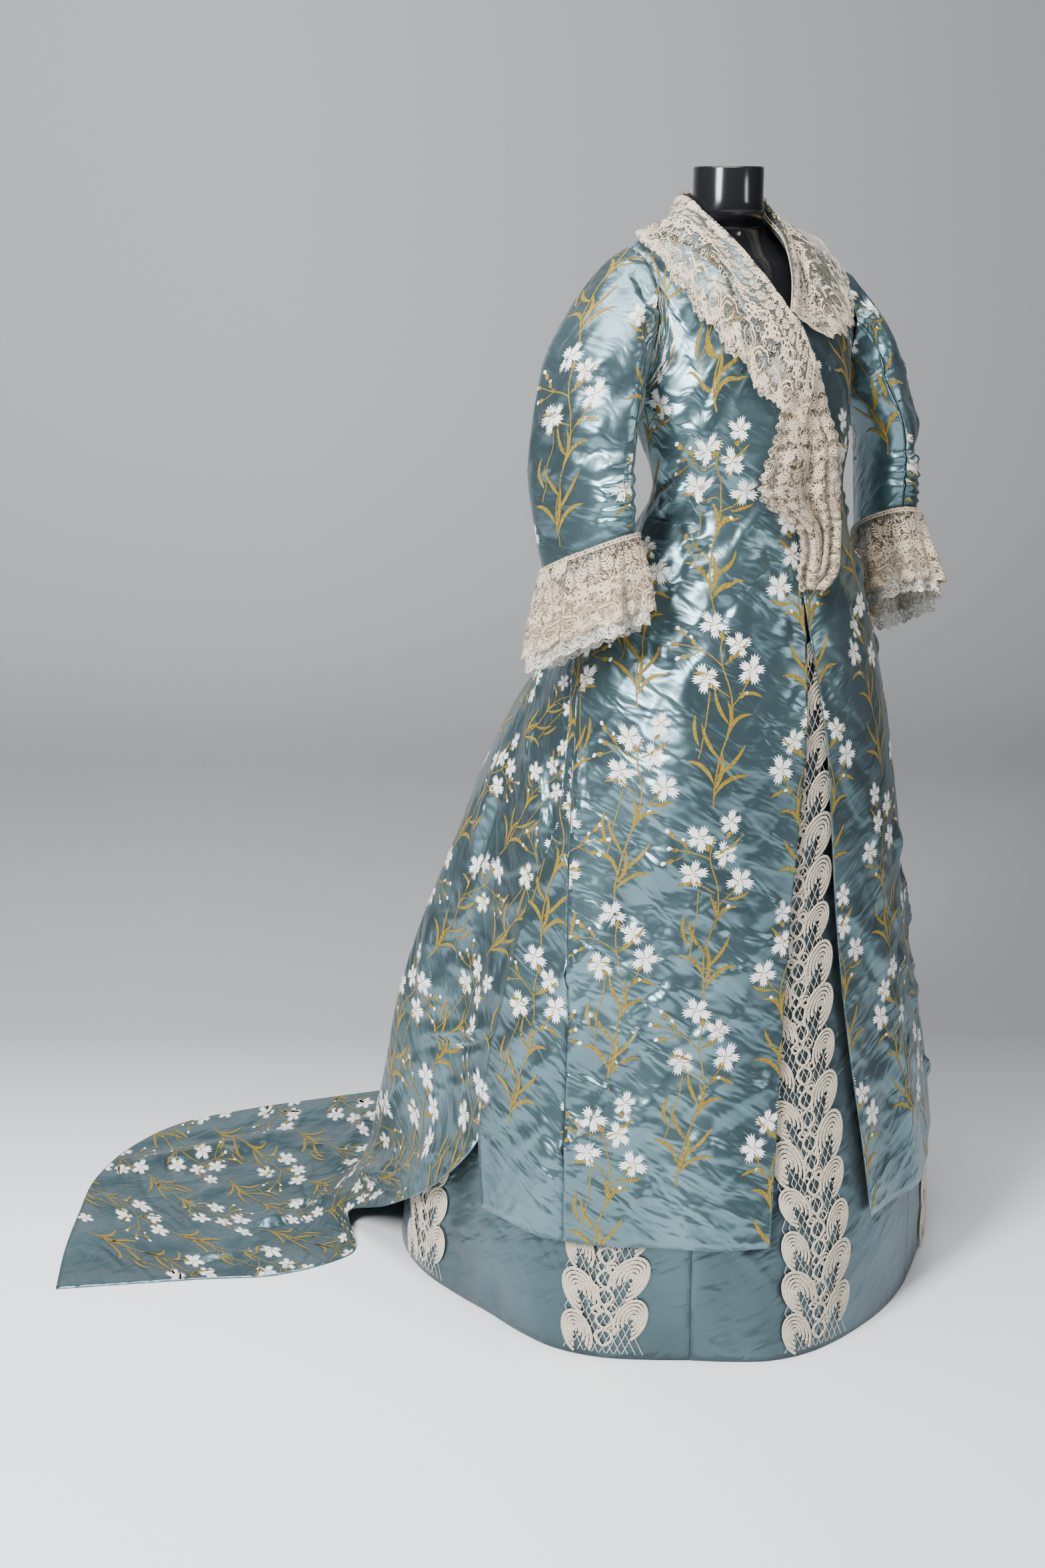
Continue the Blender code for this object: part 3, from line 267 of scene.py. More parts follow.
def yoke_column(tops, number, share, side):
    """The column of that number, whole or between two, of a front or a back. A number below 0 is on
    the other side, and a share below 0 is below the underarm line."""
    if number < 0:
        number, side = -number, -side
    turn, x, y, z, to_x, to_y, to_z = (
        along(np.arange(len(column)), column, number) for column in tops.values()
    )
    if share < 0:
        return on_body(side * abs(turn), UNDERARM + share * SHARE_DROP)
    return yoke(side * abs(turn), Vector((-side * x, y, z)), Vector((-side * to_x, to_y, to_z)), share)


depth = round((armhole(-1, 90) - armhole(-1, -90)).length, 3)
print("shoulder point", SHOULDER_POINT, "mm, armhole", depth, "m deep")

# %% Fronts and side pieces
BODICE_ROWS = 5
BODY_ROWS = (1.250, 1.192, 1.134, 1.080, 1.020, 0.950, 0.875, 0.800)
FRONT_HEIGHTS = BODY_ROWS + (0.700, 0.600, 0.490, 0.380, 0.270, 0.165)
FRONT_ROWS = BODICE_ROWS + len(FRONT_HEIGHTS) - 1


def between(turn_a, turn_b, across, height):
    """A turn between two seams, half a seam gap inside each."""
    first, second = (math.degrees(0.5 * SEAM_GAP / body_reach(turn, height)) for turn in (turn_a, turn_b))
    way = 1 if turn_b > turn_a else -1
    return mix(turn_a + way * first, turn_b - way * second, across)


def inside(across, width):
    """A share of a width, half a seam gap inside each end."""
    inset = 0.5 * SEAM_GAP / width
    return mix(inset, 1 - inset, across)


def bodice_point(tops, number, from_centre, share, side, way):
    """A point of a front or a back above the underarm line. The centre and the shoulder seam are
    eased apart there. The way is 1 for a back and -1 for a front."""
    place = yoke_column(tops, min(number, len(tops["turn"]) - 1 - YOKE_EDGE), share, side)
    place.x += side * 0.5 * SEAM_GAP * (1 - from_centre)
    place.y += way * SHOULDER_SPLIT * ease(3 * share - 2) * (from_centre > 0.31)
    return place


def front_surface(side):
    """A front from the neck to the hem, from its free edge to its side seam."""
    turns = FRONT_TOP["turn"]
    columns = len(turns) - 1

    def surface(across, down):
        row = down * FRONT_ROWS - BODICE_ROWS
        if row <= 0:
            return bodice_point(FRONT_TOP, across * columns, across, -row / BODICE_ROWS, side, -1)
        height = stepped(FRONT_HEIGHTS, row)
        start = look(OPENING, height, "left" if side > 0 else "right")[0]
        share = stepped(turns, across * columns) / turns[-1]
        return on_body(between(start, seam(side, "front_seam", height), share, height), height)

    return surface, columns, FRONT_ROWS


def side_surface(side, columns=5):
    """The piece under the arm, which hangs free behind below the slit."""

    def surface(across, down):
        row = down * FRONT_ROWS - BODICE_ROWS
        height = stepped(FRONT_HEIGHTS, row)
        turn = between(seam(side, "front_seam", height), seam(side, "back_seam", height), across, height)
        if row > 0:
            return on_body(turn, height)
        top = armhole(side, mix(*SIDE_TOP_PLACES, across))
        return yoke(side * abs(turn), top, Vector((side * 0.1, 0.0, 1.0)), -row / BODICE_ROWS)

    return surface, columns, FRONT_ROWS


top = front_surface(-1)[0](0, 0).z
print("a front reaches from", round(top, 3), "down to", FRONT_HEIGHTS[-1], "m")

# %% [markdown]
# Below the slit each column of a back leaves the body's oval, comes down to the floor and runs out
# over it to the hem, so the train falls from the waist in one sweep. Deep folds fan out in it, and
# they fade where it lies on the floor. Turns here run on past -180 to the wearer's left.

# %% Backs and train
TRAIN_EDGE = table(
    "row right left",
    (0, -86, -274), (1, -84.5, -275.5), (2, -87.5, -272.5), (3, -90.8, -269.2), (4, -92.5, -267.5),
    (5, -93.5, -266.5), (6, -104, -262), (7, -120, -259), (8, -131, -258), (9, -122, -258),
    (10, -115.8, -258), (13, -115.2, -258),
)
TRAIN_FLOOR = table(
    "turn touch_mm hem_mm",
    (-258, 455, 500), (-240, 500, 560), (-222, 540, 610), (-205, 570, 670), (-190, 590, 725),
    (-180, 600, 755), (-169, 610, 800), (-159, 620, 880), (-152, 620, 946), (-144, 610, 973),
    (-136, 600, 968), (-127, 540, 942), (-121, 515, 938), (-115, 530, 936),
)
TRAIN_FOLDS = table(
    "share depth_mm",
    (0.1, -22), (0.2, 26), (0.3, -30), (0.4, 24), (0.5, -26), (0.6, 24), (0.7, -26), (0.8, 22), (0.9, -20),
)
FOLD_WIDTH = 0.10
FALL_HEIGHTS = (0.700, 0.600, 0.490, 0.380, 0.270)
# How a column runs from the last falling height to the floor: share of the way out, and height
FALL_FOOT = ((0.16, 0.170), (0.42, 0.085), (0.72, 0.024), (1.0, 0.0))
FLOOR_SHARES = (0.22, 0.50, 0.76, 1.0)
TRAIN_ROWS = len(FALL_HEIGHTS) + len(FALL_FOOT) + len(FLOOR_SHARES)
LIFT = 0.0006
TRAIN_HALF_WIDTH = 0.28
# How far the edges of the train tuck in under the side pieces, and over what share of its width
TUCK, TUCK_WIDTH = 0.0035, 0.09


def train_station(turn, level):
    """Reach and height of one column of the train at a whole row."""
    falling, foot = len(FALL_HEIGHTS), len(FALL_HEIGHTS) + len(FALL_FOOT)
    round_body = turn + 360 if turn < -180 else turn
    if level <= falling:
        height = (SLIT_TOP, *FALL_HEIGHTS)[level]
        return body_reach(round_body, height), height
    touch, hem = look(TRAIN_FLOOR, turn)
    if level <= foot:
        share, height = FALL_FOOT[level - falling - 1]
        return mix(body_reach(round_body, FALL_HEIGHTS[-1]), touch, share), height
    return mix(touch, hem, FLOOR_SHARES[level - foot - 1]), 0.0


def train_point(share, row):
    """The train at a share of its width, from its right edge, and a row below the slit."""
    edges = (np.interp(row, TRAIN_EDGE["row"], TRAIN_EDGE[edge]) for edge in ("right", "left"))
    turn = mix(*edges, share)
    level = int(min(row, TRAIN_ROWS - 1))
    first, second = (train_station(turn, level + k) for k in (0, 1))
    reach, height = (mix(first[i], second[i], row - level) for i in (0, 1))
    fold = sum(depth * bump(share, place, FOLD_WIDTH) for place, depth in zip(*TRAIN_FOLDS.values()))
    strength = ease(row / 4) * ease((len(FALL_HEIGHTS) + 3 - row) / 4)
    tuck = TUCK * (bump(share, 0, TUCK_WIDTH) + bump(share, 1, TUCK_WIDTH)) * min(row, 1)
    return around(turn, reach + fold * strength - tuck, height + LIFT)


def back_surface(side, columns=10):
    """A back with its half of the train, from its side edge to the centre back."""
    body_rows = len(BODY_ROWS) - 1
    rows = BODICE_ROWS + body_rows + TRAIN_ROWS

    def surface(across, down):
        row = down * rows - BODICE_ROWS
        if row <= 0:
            number = stepped(BACK_COLUMNS, (1 - across) * columns)
            return bodice_point(BACK_TOP, number, 1 - across, -row / BODICE_ROWS, side, 1)
        if row <= body_rows:
            height = stepped(BODY_ROWS, row)
            return on_body(between(seam(side, "back_seam", height), side * 180.0, across, height), height)
        share = inside(across, TRAIN_HALF_WIDTH) / 2
        return train_point(share if side < 0 else 1 - share, row - body_rows)

    return surface, columns, rows


print("the train reaches", TRAIN_FLOOR["hem"].max(), "m from the axis")

# %% [markdown]
# A sleeve is a stack of ovals round a bent arm, with a puffed head gathered into the armhole and
# ruched folds inside the elbow. The lace cuff carries the ovals on, and ruffles as it widens. The
# table is the wearer's right sleeve. The left one mirrors it, but hangs nearer the body.

# %% Sleeves and cuffs
# Centre, half size towards the front of the elbow, half size outwards, and how much higher the
# outer side and the front end are
SLEEVE = table(
    "height_mm x_mm left_x_mm y_mm long_mm short_mm outer_up_mm front_up_mm",
    (1045, -245, -243, -53, 62.5, 34.5, 0, 30), (1100, -249, -246, -47, 71, 35, 0, 18),
    (1154, -252, -248, -42, 77, 35, 0, 4), (1210, -248, -239, -42, 75.5, 34.5, 10, 0),
    (1262, -229, -218, -30, 75, 37, 30, 0),
)
SLEEVE_LONG = Vector((0.35, -0.94, 0.0))
SLEEVE_OUT = Vector((-0.94, -0.35, 0.0))
SLEEVE_HALF_ROUND = 0.080
HEAD_ROWS = 5
ARM_HEIGHTS = (1.262, 1.236, 1.208, 1.182, 1.166, 1.154, 1.142, 1.130, 1.118, 1.106, 1.094, 1.076, 1.045)
# The ruched folds inside the elbow run round the arm here, a fold to two rows
RUCHE_TOP, RUCHE_BOTTOM, RUCHE_DEPTH, RUCHE_FADE = 1.182, 1.094, 0.0025, 0.012
HEAD_GATHERS, HEAD_GATHER_DEPTH = 9, 0.0022
# The lace cuffs as ovals like the sleeve's, with the depth of their ruffle
CUFF = table(
    "height_mm long_mm short_mm x_mm y_mm wave_mm front_up_mm",
    (957, 87, 49, -259, -67, 8, 42), (980, 85, 48, -256, -64, 7, 40), (1005, 82, 47, -252, -60, 5.5, 37),
    (1035, 76, 44, -249, -56, 3, 33), (1064, 69, 42.5, -245.5, -53, 0, 30),
)
CUFF_WAVES, CUFF_HALF_ROUND = 7, 0.1


def mirrored(side, point):
    return Vector((-side * point.x, point.y, point.z))


def sleeve_ring(side, place, height):
    """A point of the sleeve's oval at that height, as on the right."""
    names = ("left_x" if side > 0 else "x") + " y long short outer_up front_up"
    x, y, long, short, outer_up, front_up = look(SLEEVE, height, names)
    cosine, sine = turned(place)
    point = Vector((x, y, height)) + SLEEVE_LONG * long * cosine + SLEEVE_OUT * short * sine
    point.z += outer_up * sine + front_up * cosine
    return point


def sleeve_head(side, place, share):
    """The puffed head of the sleeve, from the armhole to the top of the arm, as on the right."""
    cosine, sine = turned(place)
    outer = max(0.0, sine)
    start = armhole(-1, place) + Vector((-0.0018 - 0.0024 * max(0.0, -sine), 0.0, 0.0))
    end = sleeve_ring(side, place, ARM_HEIGHTS[0])
    radial = SLEEVE_LONG * cosine + SLEEVE_OUT * sine
    spread = 0.020 + (0.008 if side > 0 else 0.016) * outer
    first = start + (Vector((-0.80, 0.0, -0.30)) + 0.5 * radial) * spread
    second = end + Vector((0.25 * outer, 0.0, 1.0)) * (0.012 + 0.030 * (1 + sine) / 2)
    rest = 1 - share
    point = start * rest**3 + first * 3 * rest**2 * share + second * 3 * rest * share**2 + end * share**3
    gather = HEAD_GATHER_DEPTH * turned(2 * HEAD_GATHERS * place)[0] * 4 * share * rest * rest
    return point + radial * gather * outer


def sleeve_surface(side, start, end, columns):
    """A sleeve's upper or under piece, between two places round the arm."""
    rows = HEAD_ROWS + len(ARM_HEIGHTS) - 1

    def surface(across, down):
        row = down * rows
        place = mix(start, end, inside(across, SLEEVE_HALF_ROUND))
        if row < HEAD_ROWS:
            return mirrored(side, sleeve_head(side, place, row / HEAD_ROWS))
        height = stepped(ARM_HEIGHTS, row - HEAD_ROWS)
        point = sleeve_ring(side, place, height)
        if RUCHE_BOTTOM <= height <= RUCHE_TOP:
            wave = math.cos(math.pi * (row - HEAD_ROWS - 3)) * bump(place, -10, 75)
            fade = min(1.0, (RUCHE_TOP - height) / RUCHE_FADE, (height - RUCHE_BOTTOM) / RUCHE_FADE)
            point += SLEEVE_LONG * turned(place)[0] * RUCHE_DEPTH * wave * fade
        return mirrored(side, point)

    return surface, columns, rows


def cuff_surface(side, start, end, columns=14, rows=4):
    """Half of a cuff, between two places round the wrist."""

    def surface(across, down):
        height = mix(CUFF["height"][-1], CUFF["height"][0], down)
        long, short, x, y, wave, front_up = look(CUFF, height)
        place = mix(start, end, inside(across, CUFF_HALF_ROUND))
        cosine, sine = turned(place)
        ruffle = wave * turned(CUFF_WAVES * (place + 10))[0]
        point = Vector((x, y, height + front_up * cosine))
        point += SLEEVE_LONG * (long + ruffle) * cosine
        point += SLEEVE_OUT * (short + ruffle) * sine
        return mirrored(side, point)

    return surface, columns, rows


print("sleeves from", ARM_HEIGHTS[0], "to", ARM_HEIGHTS[-1], "m, cuffs down to", CUFF["height"][0], "m")

# %% [markdown]
# A collar rolls over at the neck and lies on the bodice. It is drawn as stations round the neck,
# each a line over the bodice from the roll out to the edge, so it follows the bodice wherever that
# goes. Stations 0 to 3 lie on the back, and those from 3 on lie on the front.

# %% Collars
# Each station's start and end, as columns and shares of the back or the front. Roll is how high the
# collar stands at the neck, base how far off the bodice it starts and lift how far off its edge
# hangs.
COLLARS = {
    "right": table(
        "number share to_number to_share roll_mm base_mm lift_mm",
        (0, 1, 0, 0.8, 30, 3, 12), (1, 1, 1.35, 0.79, 29, 3, 12), (2, 1, 3.2, 0.8, 27, 3, 12),
        (4, 1, 5.85, 1, 23, 3.4, 10), (3.4, 1, 5.75, 0.84, 20, 3.6, 8), (2.8, 1, 5.85, 0.68, 18, 3.4, 8),
        (2.2, 1, 5.8, 0.52, 15, 3, 8), (1.6, 1, 5.5, 0.34, 12, 3, 8), (1, 1, 4.6, 0.2, 9, 3.4, 8),
        (0.4, 1, 3.3, 0.08, 7, 4, 8), (-0.1, 0.9, 2.2, -0.08, 5, 8, 11),
        (-0.5, 0.62, 1.3, -0.22, 4, 11, 14), (-0.8, 0.3, 0.4, -0.33, 4, 12, 15),
    ),
    "left": table(
        "number share to_number to_share roll_mm base_mm lift_mm",
        (0, 1, 0, 0.8, 30, 3, 12), (1, 1, 1.35, 0.79, 29, 3, 12), (2, 1, 2.9, 0.82, 27, 3, 12),
        (4, 1, 5.6, 1, 23, 3, 12), (3.4, 1, 5.95, 0.9, 20, 3, 12), (2.8, 1, 6.15, 0.74, 17, 3, 16),
        (2.2, 1, 6.4, 0.55, 14, 3, 17), (1.6, 1, 6.1, 0.38, 11, 3, 15), (1.1, 1, 5.2, 0.26, 9, 3, 14),
        (0.7, 1, 4, 0.23, 7, 3, 12), (0.4, 1, 2.8, 0.34, 5, 3, 9), (0.2, 1, 1.6, 0.58, 4, 3, 6),
    ),
}
SHOULDER_STATION = 3
COLLAR_COLUMNS = 18
COLLAR_LENGTH = 0.08
# Places across the collar: below 0 it stands at the neck, 0 is the roll and 1 the edge of the lace
COLLAR_STAND = -0.12
SATIN_PLACES = (COLLAR_STAND, 0.0, 0.08, 0.20, 0.38, 0.60)
COLLAR_LACE_PLACES = (*SATIN_PLACES, 0.80, 1.0)
ROLL_FADE = 0.45
COLLAR_CLEAR = 0.0025
SCALLOP = 0.25
BODICE_MIDDLE = Vector((0.0, 0.0, 1.25))


def bodice_out(tops, number, share, side):
    """The direction outwards from the bodice at a point of its inner face."""
    step = 0.05
    share = min(share, 1 - step)
    one, two = (
        yoke_column(tops, number + i, share + k, side) - yoke_column(tops, number - i, share - k, side)
        for i, k in ((step, 0), (0, step))
    )
    out = one.cross(two).normalized()
    return out if out.dot(yoke_column(tops, number, share, side) - BODICE_MIDDLE) > 0 else -out


def collar_point(side, station, place):
    """A point of the inner face of a collar's satin, carried on to the edge of its lace."""
    on_back = station < SHOULDER_STATION
    tops, last = (BACK_TOP, 3.0) if on_back else (FRONT_TOP, 4.0)
    picked = {name: column.copy() for name, column in COLLARS["left" if side > 0 else "right"].items()}
    if on_back:
        for name in ("number", "to_number"):
            picked[name][SHOULDER_STATION] -= 1
    number, share, to_number, to_share, roll, base, lift = (
        stepped(column, station) for column in picked.values()
    )
    edge = yoke_column(tops, min(number, last), share, side)
    out = bodice_out(tops, min(number, last), share, side)
    foot = edge + out * base + Vector((0.0, 0.0, COLLAR_CLEAR))
    top = foot + Vector((0.0, -0.2 * roll, roll))
    if place < 0:
        return mix(top, foot, place / COLLAR_STAND)
    across, down = mix(number, to_number, place), mix(share, to_share, place)
    skin = yoke_column(tops, across, down, side)
    away = bodice_out(tops, across, down, side)
    lowered = max(0.0, 1 - place / ROLL_FADE) ** 2
    point = skin + away * mix(base, lift, place) + (top - foot) * lowered
    return point + Vector((0.0, 0.0, COLLAR_CLEAR * lowered))


def collar_surface(side, places, scallop=0.0):
    """The inner face of a collar's satin, or the same surface out to the scallops of its lace."""
    rows = len(places) - 1
    stations = len(COLLARS["left" if side > 0 else "right"]["number"]) - 1

    def surface(across, down):
        row = down * rows
        if row > rows - 0.5 and round(across * COLLAR_COLUMNS) % 2:
            row -= scallop
        return collar_point(side, inside(across, COLLAR_LENGTH) * stations, stepped(places, row))

    return surface, COLLAR_COLUMNS, rows


print("collar stations:", {label: len(rows["number"]) for label, rows in COLLARS.items()})

# %% [markdown]
# The jabot is a flat cascade of lace that hangs from the neck over the front opening. Each height
# gives its two edges and how far it stands off the bodice, whose front line it follows.

# %% Jabot
JABOT = table(
    "height_mm left_mm right_mm off_mm",
    (1322, 4, 20, 1), (1290, 6, 34, 1.5), (1262, -20, 40, 3), (1232, -38, 47, 4), (1206, -50, 55, 8),
    (1180, -62, 63, 13), (1149, -69, 65, 17), (1125, -64, 66, 18), (1104, -36, 62, 18), (1085, -14, 58, 16),
    (1057, -10, 52, 14), (1032, -18, 44, 12), (1014, -10, 12, 10),
)
# Where the front of the bodice lies, and how fast it curves away to the sides
FRONT_LINE = table(
    "height_mm y_mm",
    (985, -183), (1020, -175), (1080, -164), (1134, -159), (1190, -168), (1250, -160), (1280, -154),
    (1310, -145.2), (1342, -134.2),
)
FRONT_CURVE = 2.6
JABOT_FOLDS = table(
    "share depth_mm width",
    (0.2, 7, 0.22), (0.52, -5, 0.2), (0.78, 8, 0.22),
)


def jabot_surface(columns=10, rows=12):

    def surface(across, down):
        height, left, right, off = (stepped(column, down * rows) for column in JABOT.values())
        x = mix(left, right, across)
        fold = sum(depth * bump(across, share, width) for share, depth, width in zip(*JABOT_FOLDS.values()))
        y = look(FRONT_LINE, height)[0] + FRONT_CURVE * x * x
        return Vector((x, y - off - fold * ease(4 * (down - 0.3)), height))

    return surface, columns, rows


print("the jabot hangs from", JABOT["height"][0], "to", JABOT["height"][-1], "m")

# %% [markdown]
# The underskirt is a plain cone of four breadths, a little inside the overdress, down to the floor.
# The form's torso follows it below the underarm, and has ovals of its own above.

# %% Underskirt and dress form
SKIRT_INSET = table(
    "height_mm inset_mm",
    (0, 8), (165, 12), (600, 12), (1000, 9), (1055, 4.5), (1095, 4.6),
)
SKIRT_HEIGHTS = (1.095, 1.055, 1.010, 0.950, 0.880, 0.750, 0.600, 0.450, 0.300, 0.150, 0.0008)
SKIRT_PANELS = {
    "front": (-40.0, 40.0, 8),
    "right": (-145.0, -40.0, 10),
    "left": (40.0, 145.0, 10),
    "back": (145.0, 215.0, 6),
}
SKIRT_BREADTH = 0.3


def skirt_inset(height):
    return float(np.interp(height, *SKIRT_INSET.values()))


def skirt_surface(panel):
    start, end, columns = SKIRT_PANELS[panel]

    def surface(across, down):
        height = stepped(SKIRT_HEIGHTS, down * (len(SKIRT_HEIGHTS) - 1))
        turn = mix(start, end, inside(across, SKIRT_BREADTH))
        round_body = turn - 360 if turn > 180 else turn
        sizes = look(BODY, height, "under_side centre_y front under_back")
        return around(turn, oval(round_body, *sizes) + sway(round_body, height) - skirt_inset(height), height)

    return surface, columns, len(SKIRT_HEIGHTS) - 1


# A power below 2 makes an oval of the form more pointed
FORM = table(
    "height_mm half_width_mm centre_y_mm front_mm back_mm power",
    (1320, 149, -15, 110, 94, 2), (1360, 147, -6, 96, 84, 2), (1390, 145, 1, 81, 74, 1.9),
    (1412, 142, 5, 68, 62, 1.7), (1429, 138.5, 11, 54, 46, 1.35), (1446, 102, 12, 44, 34, 1.3),
    (1459, 70, 10, 42, 32, 1.5), (1470, 51, 3, 45, 40, 1.9), (1480, 47.5, 0, 47.5, 47.5, 2),
)
NECK_TOP, NECK_RADIUS, NECK_BORE, NECK_BORE_DEPTH = 1.533, 0.0455, 0.0425, 0.030
print("form", NECK_TOP, "m high, with a neck of", 2000 * NECK_RADIUS, "mm")

# %% [markdown]
# A packed wall is coarse: its nodes are 20 to 100 mm apart. Real satin bends smoothly, so the cloth
# here is a fine grid whose points lie on a smooth surface through the wall's outer nodes. Cubic
# weights do that without moving the nodes, which keeps the garment's cut and its seams. The main
# creases are then pressed in one by one, as short lines with a depth and a width. A cloth simulation
# would let the heavy train slide about, so it isn't used.

# %% Smooth surfaces through a wall's outer nodes
def facing(points):
    """Unit normals of a grid of points."""
    out = np.cross(np.gradient(points, axis=1), np.gradient(points, axis=0))
    return out / np.maximum(np.linalg.norm(out, axis=-1, keepdims=True), 1e-12)


def cubic(t):
    """Weights of the four nodes round a place, for a smooth curve through them."""
    return (
        -0.5 * t + t**2 - 0.5 * t**3,
        1 - 2.5 * t**2 + 1.5 * t**3,
        0.5 * t + 2 * t**2 - 1.5 * t**3,
        -0.5 * t**2 + 0.5 * t**3,
    )


def cells(points, across, down):
    """The cell of a grid at shares across and down: its row and column, and the place within it."""
    rows, columns = points.shape[0] - 1, points.shape[1] - 1
    x, y = np.clip(across, 0, 1) * columns, np.clip(down, 0, 1) * rows
    i, k = np.minimum(x.astype(int), columns - 1), np.minimum(y.astype(int), rows - 1)
    return k, i, x - i, y - k


def carried_on(grid):
    """A grid with one more row before and after, carried straight on."""
    return np.concatenate([2 * grid[:1] - grid[1:2], grid, 2 * grid[-1:] - grid[-2:-1]])


def smooth_surface(nodes, across, down):
    """Points at shares across and down a smooth surface through a grid of nodes."""
    wide = carried_on(carried_on(nodes.swapaxes(0, 1)).swapaxes(0, 1))
    k, i, x, y = cells(nodes, across, down)
    weights_across, weights_down = cubic(x), cubic(y)
    return sum(
        (weights_down[m] * weights_across[n])[..., None] * wide[k + m, i + n]
        for m in range(4) for n in range(4)
    )


def lengths(points, axis):
    """Running lengths along a grid's rows or columns."""
    steps = np.linalg.norm(np.diff(points, axis=axis), axis=-1)
    start = np.zeros_like(np.take(steps, [0], axis=axis))
    return np.concatenate([start, np.cumsum(steps, axis=axis)], axis=axis)


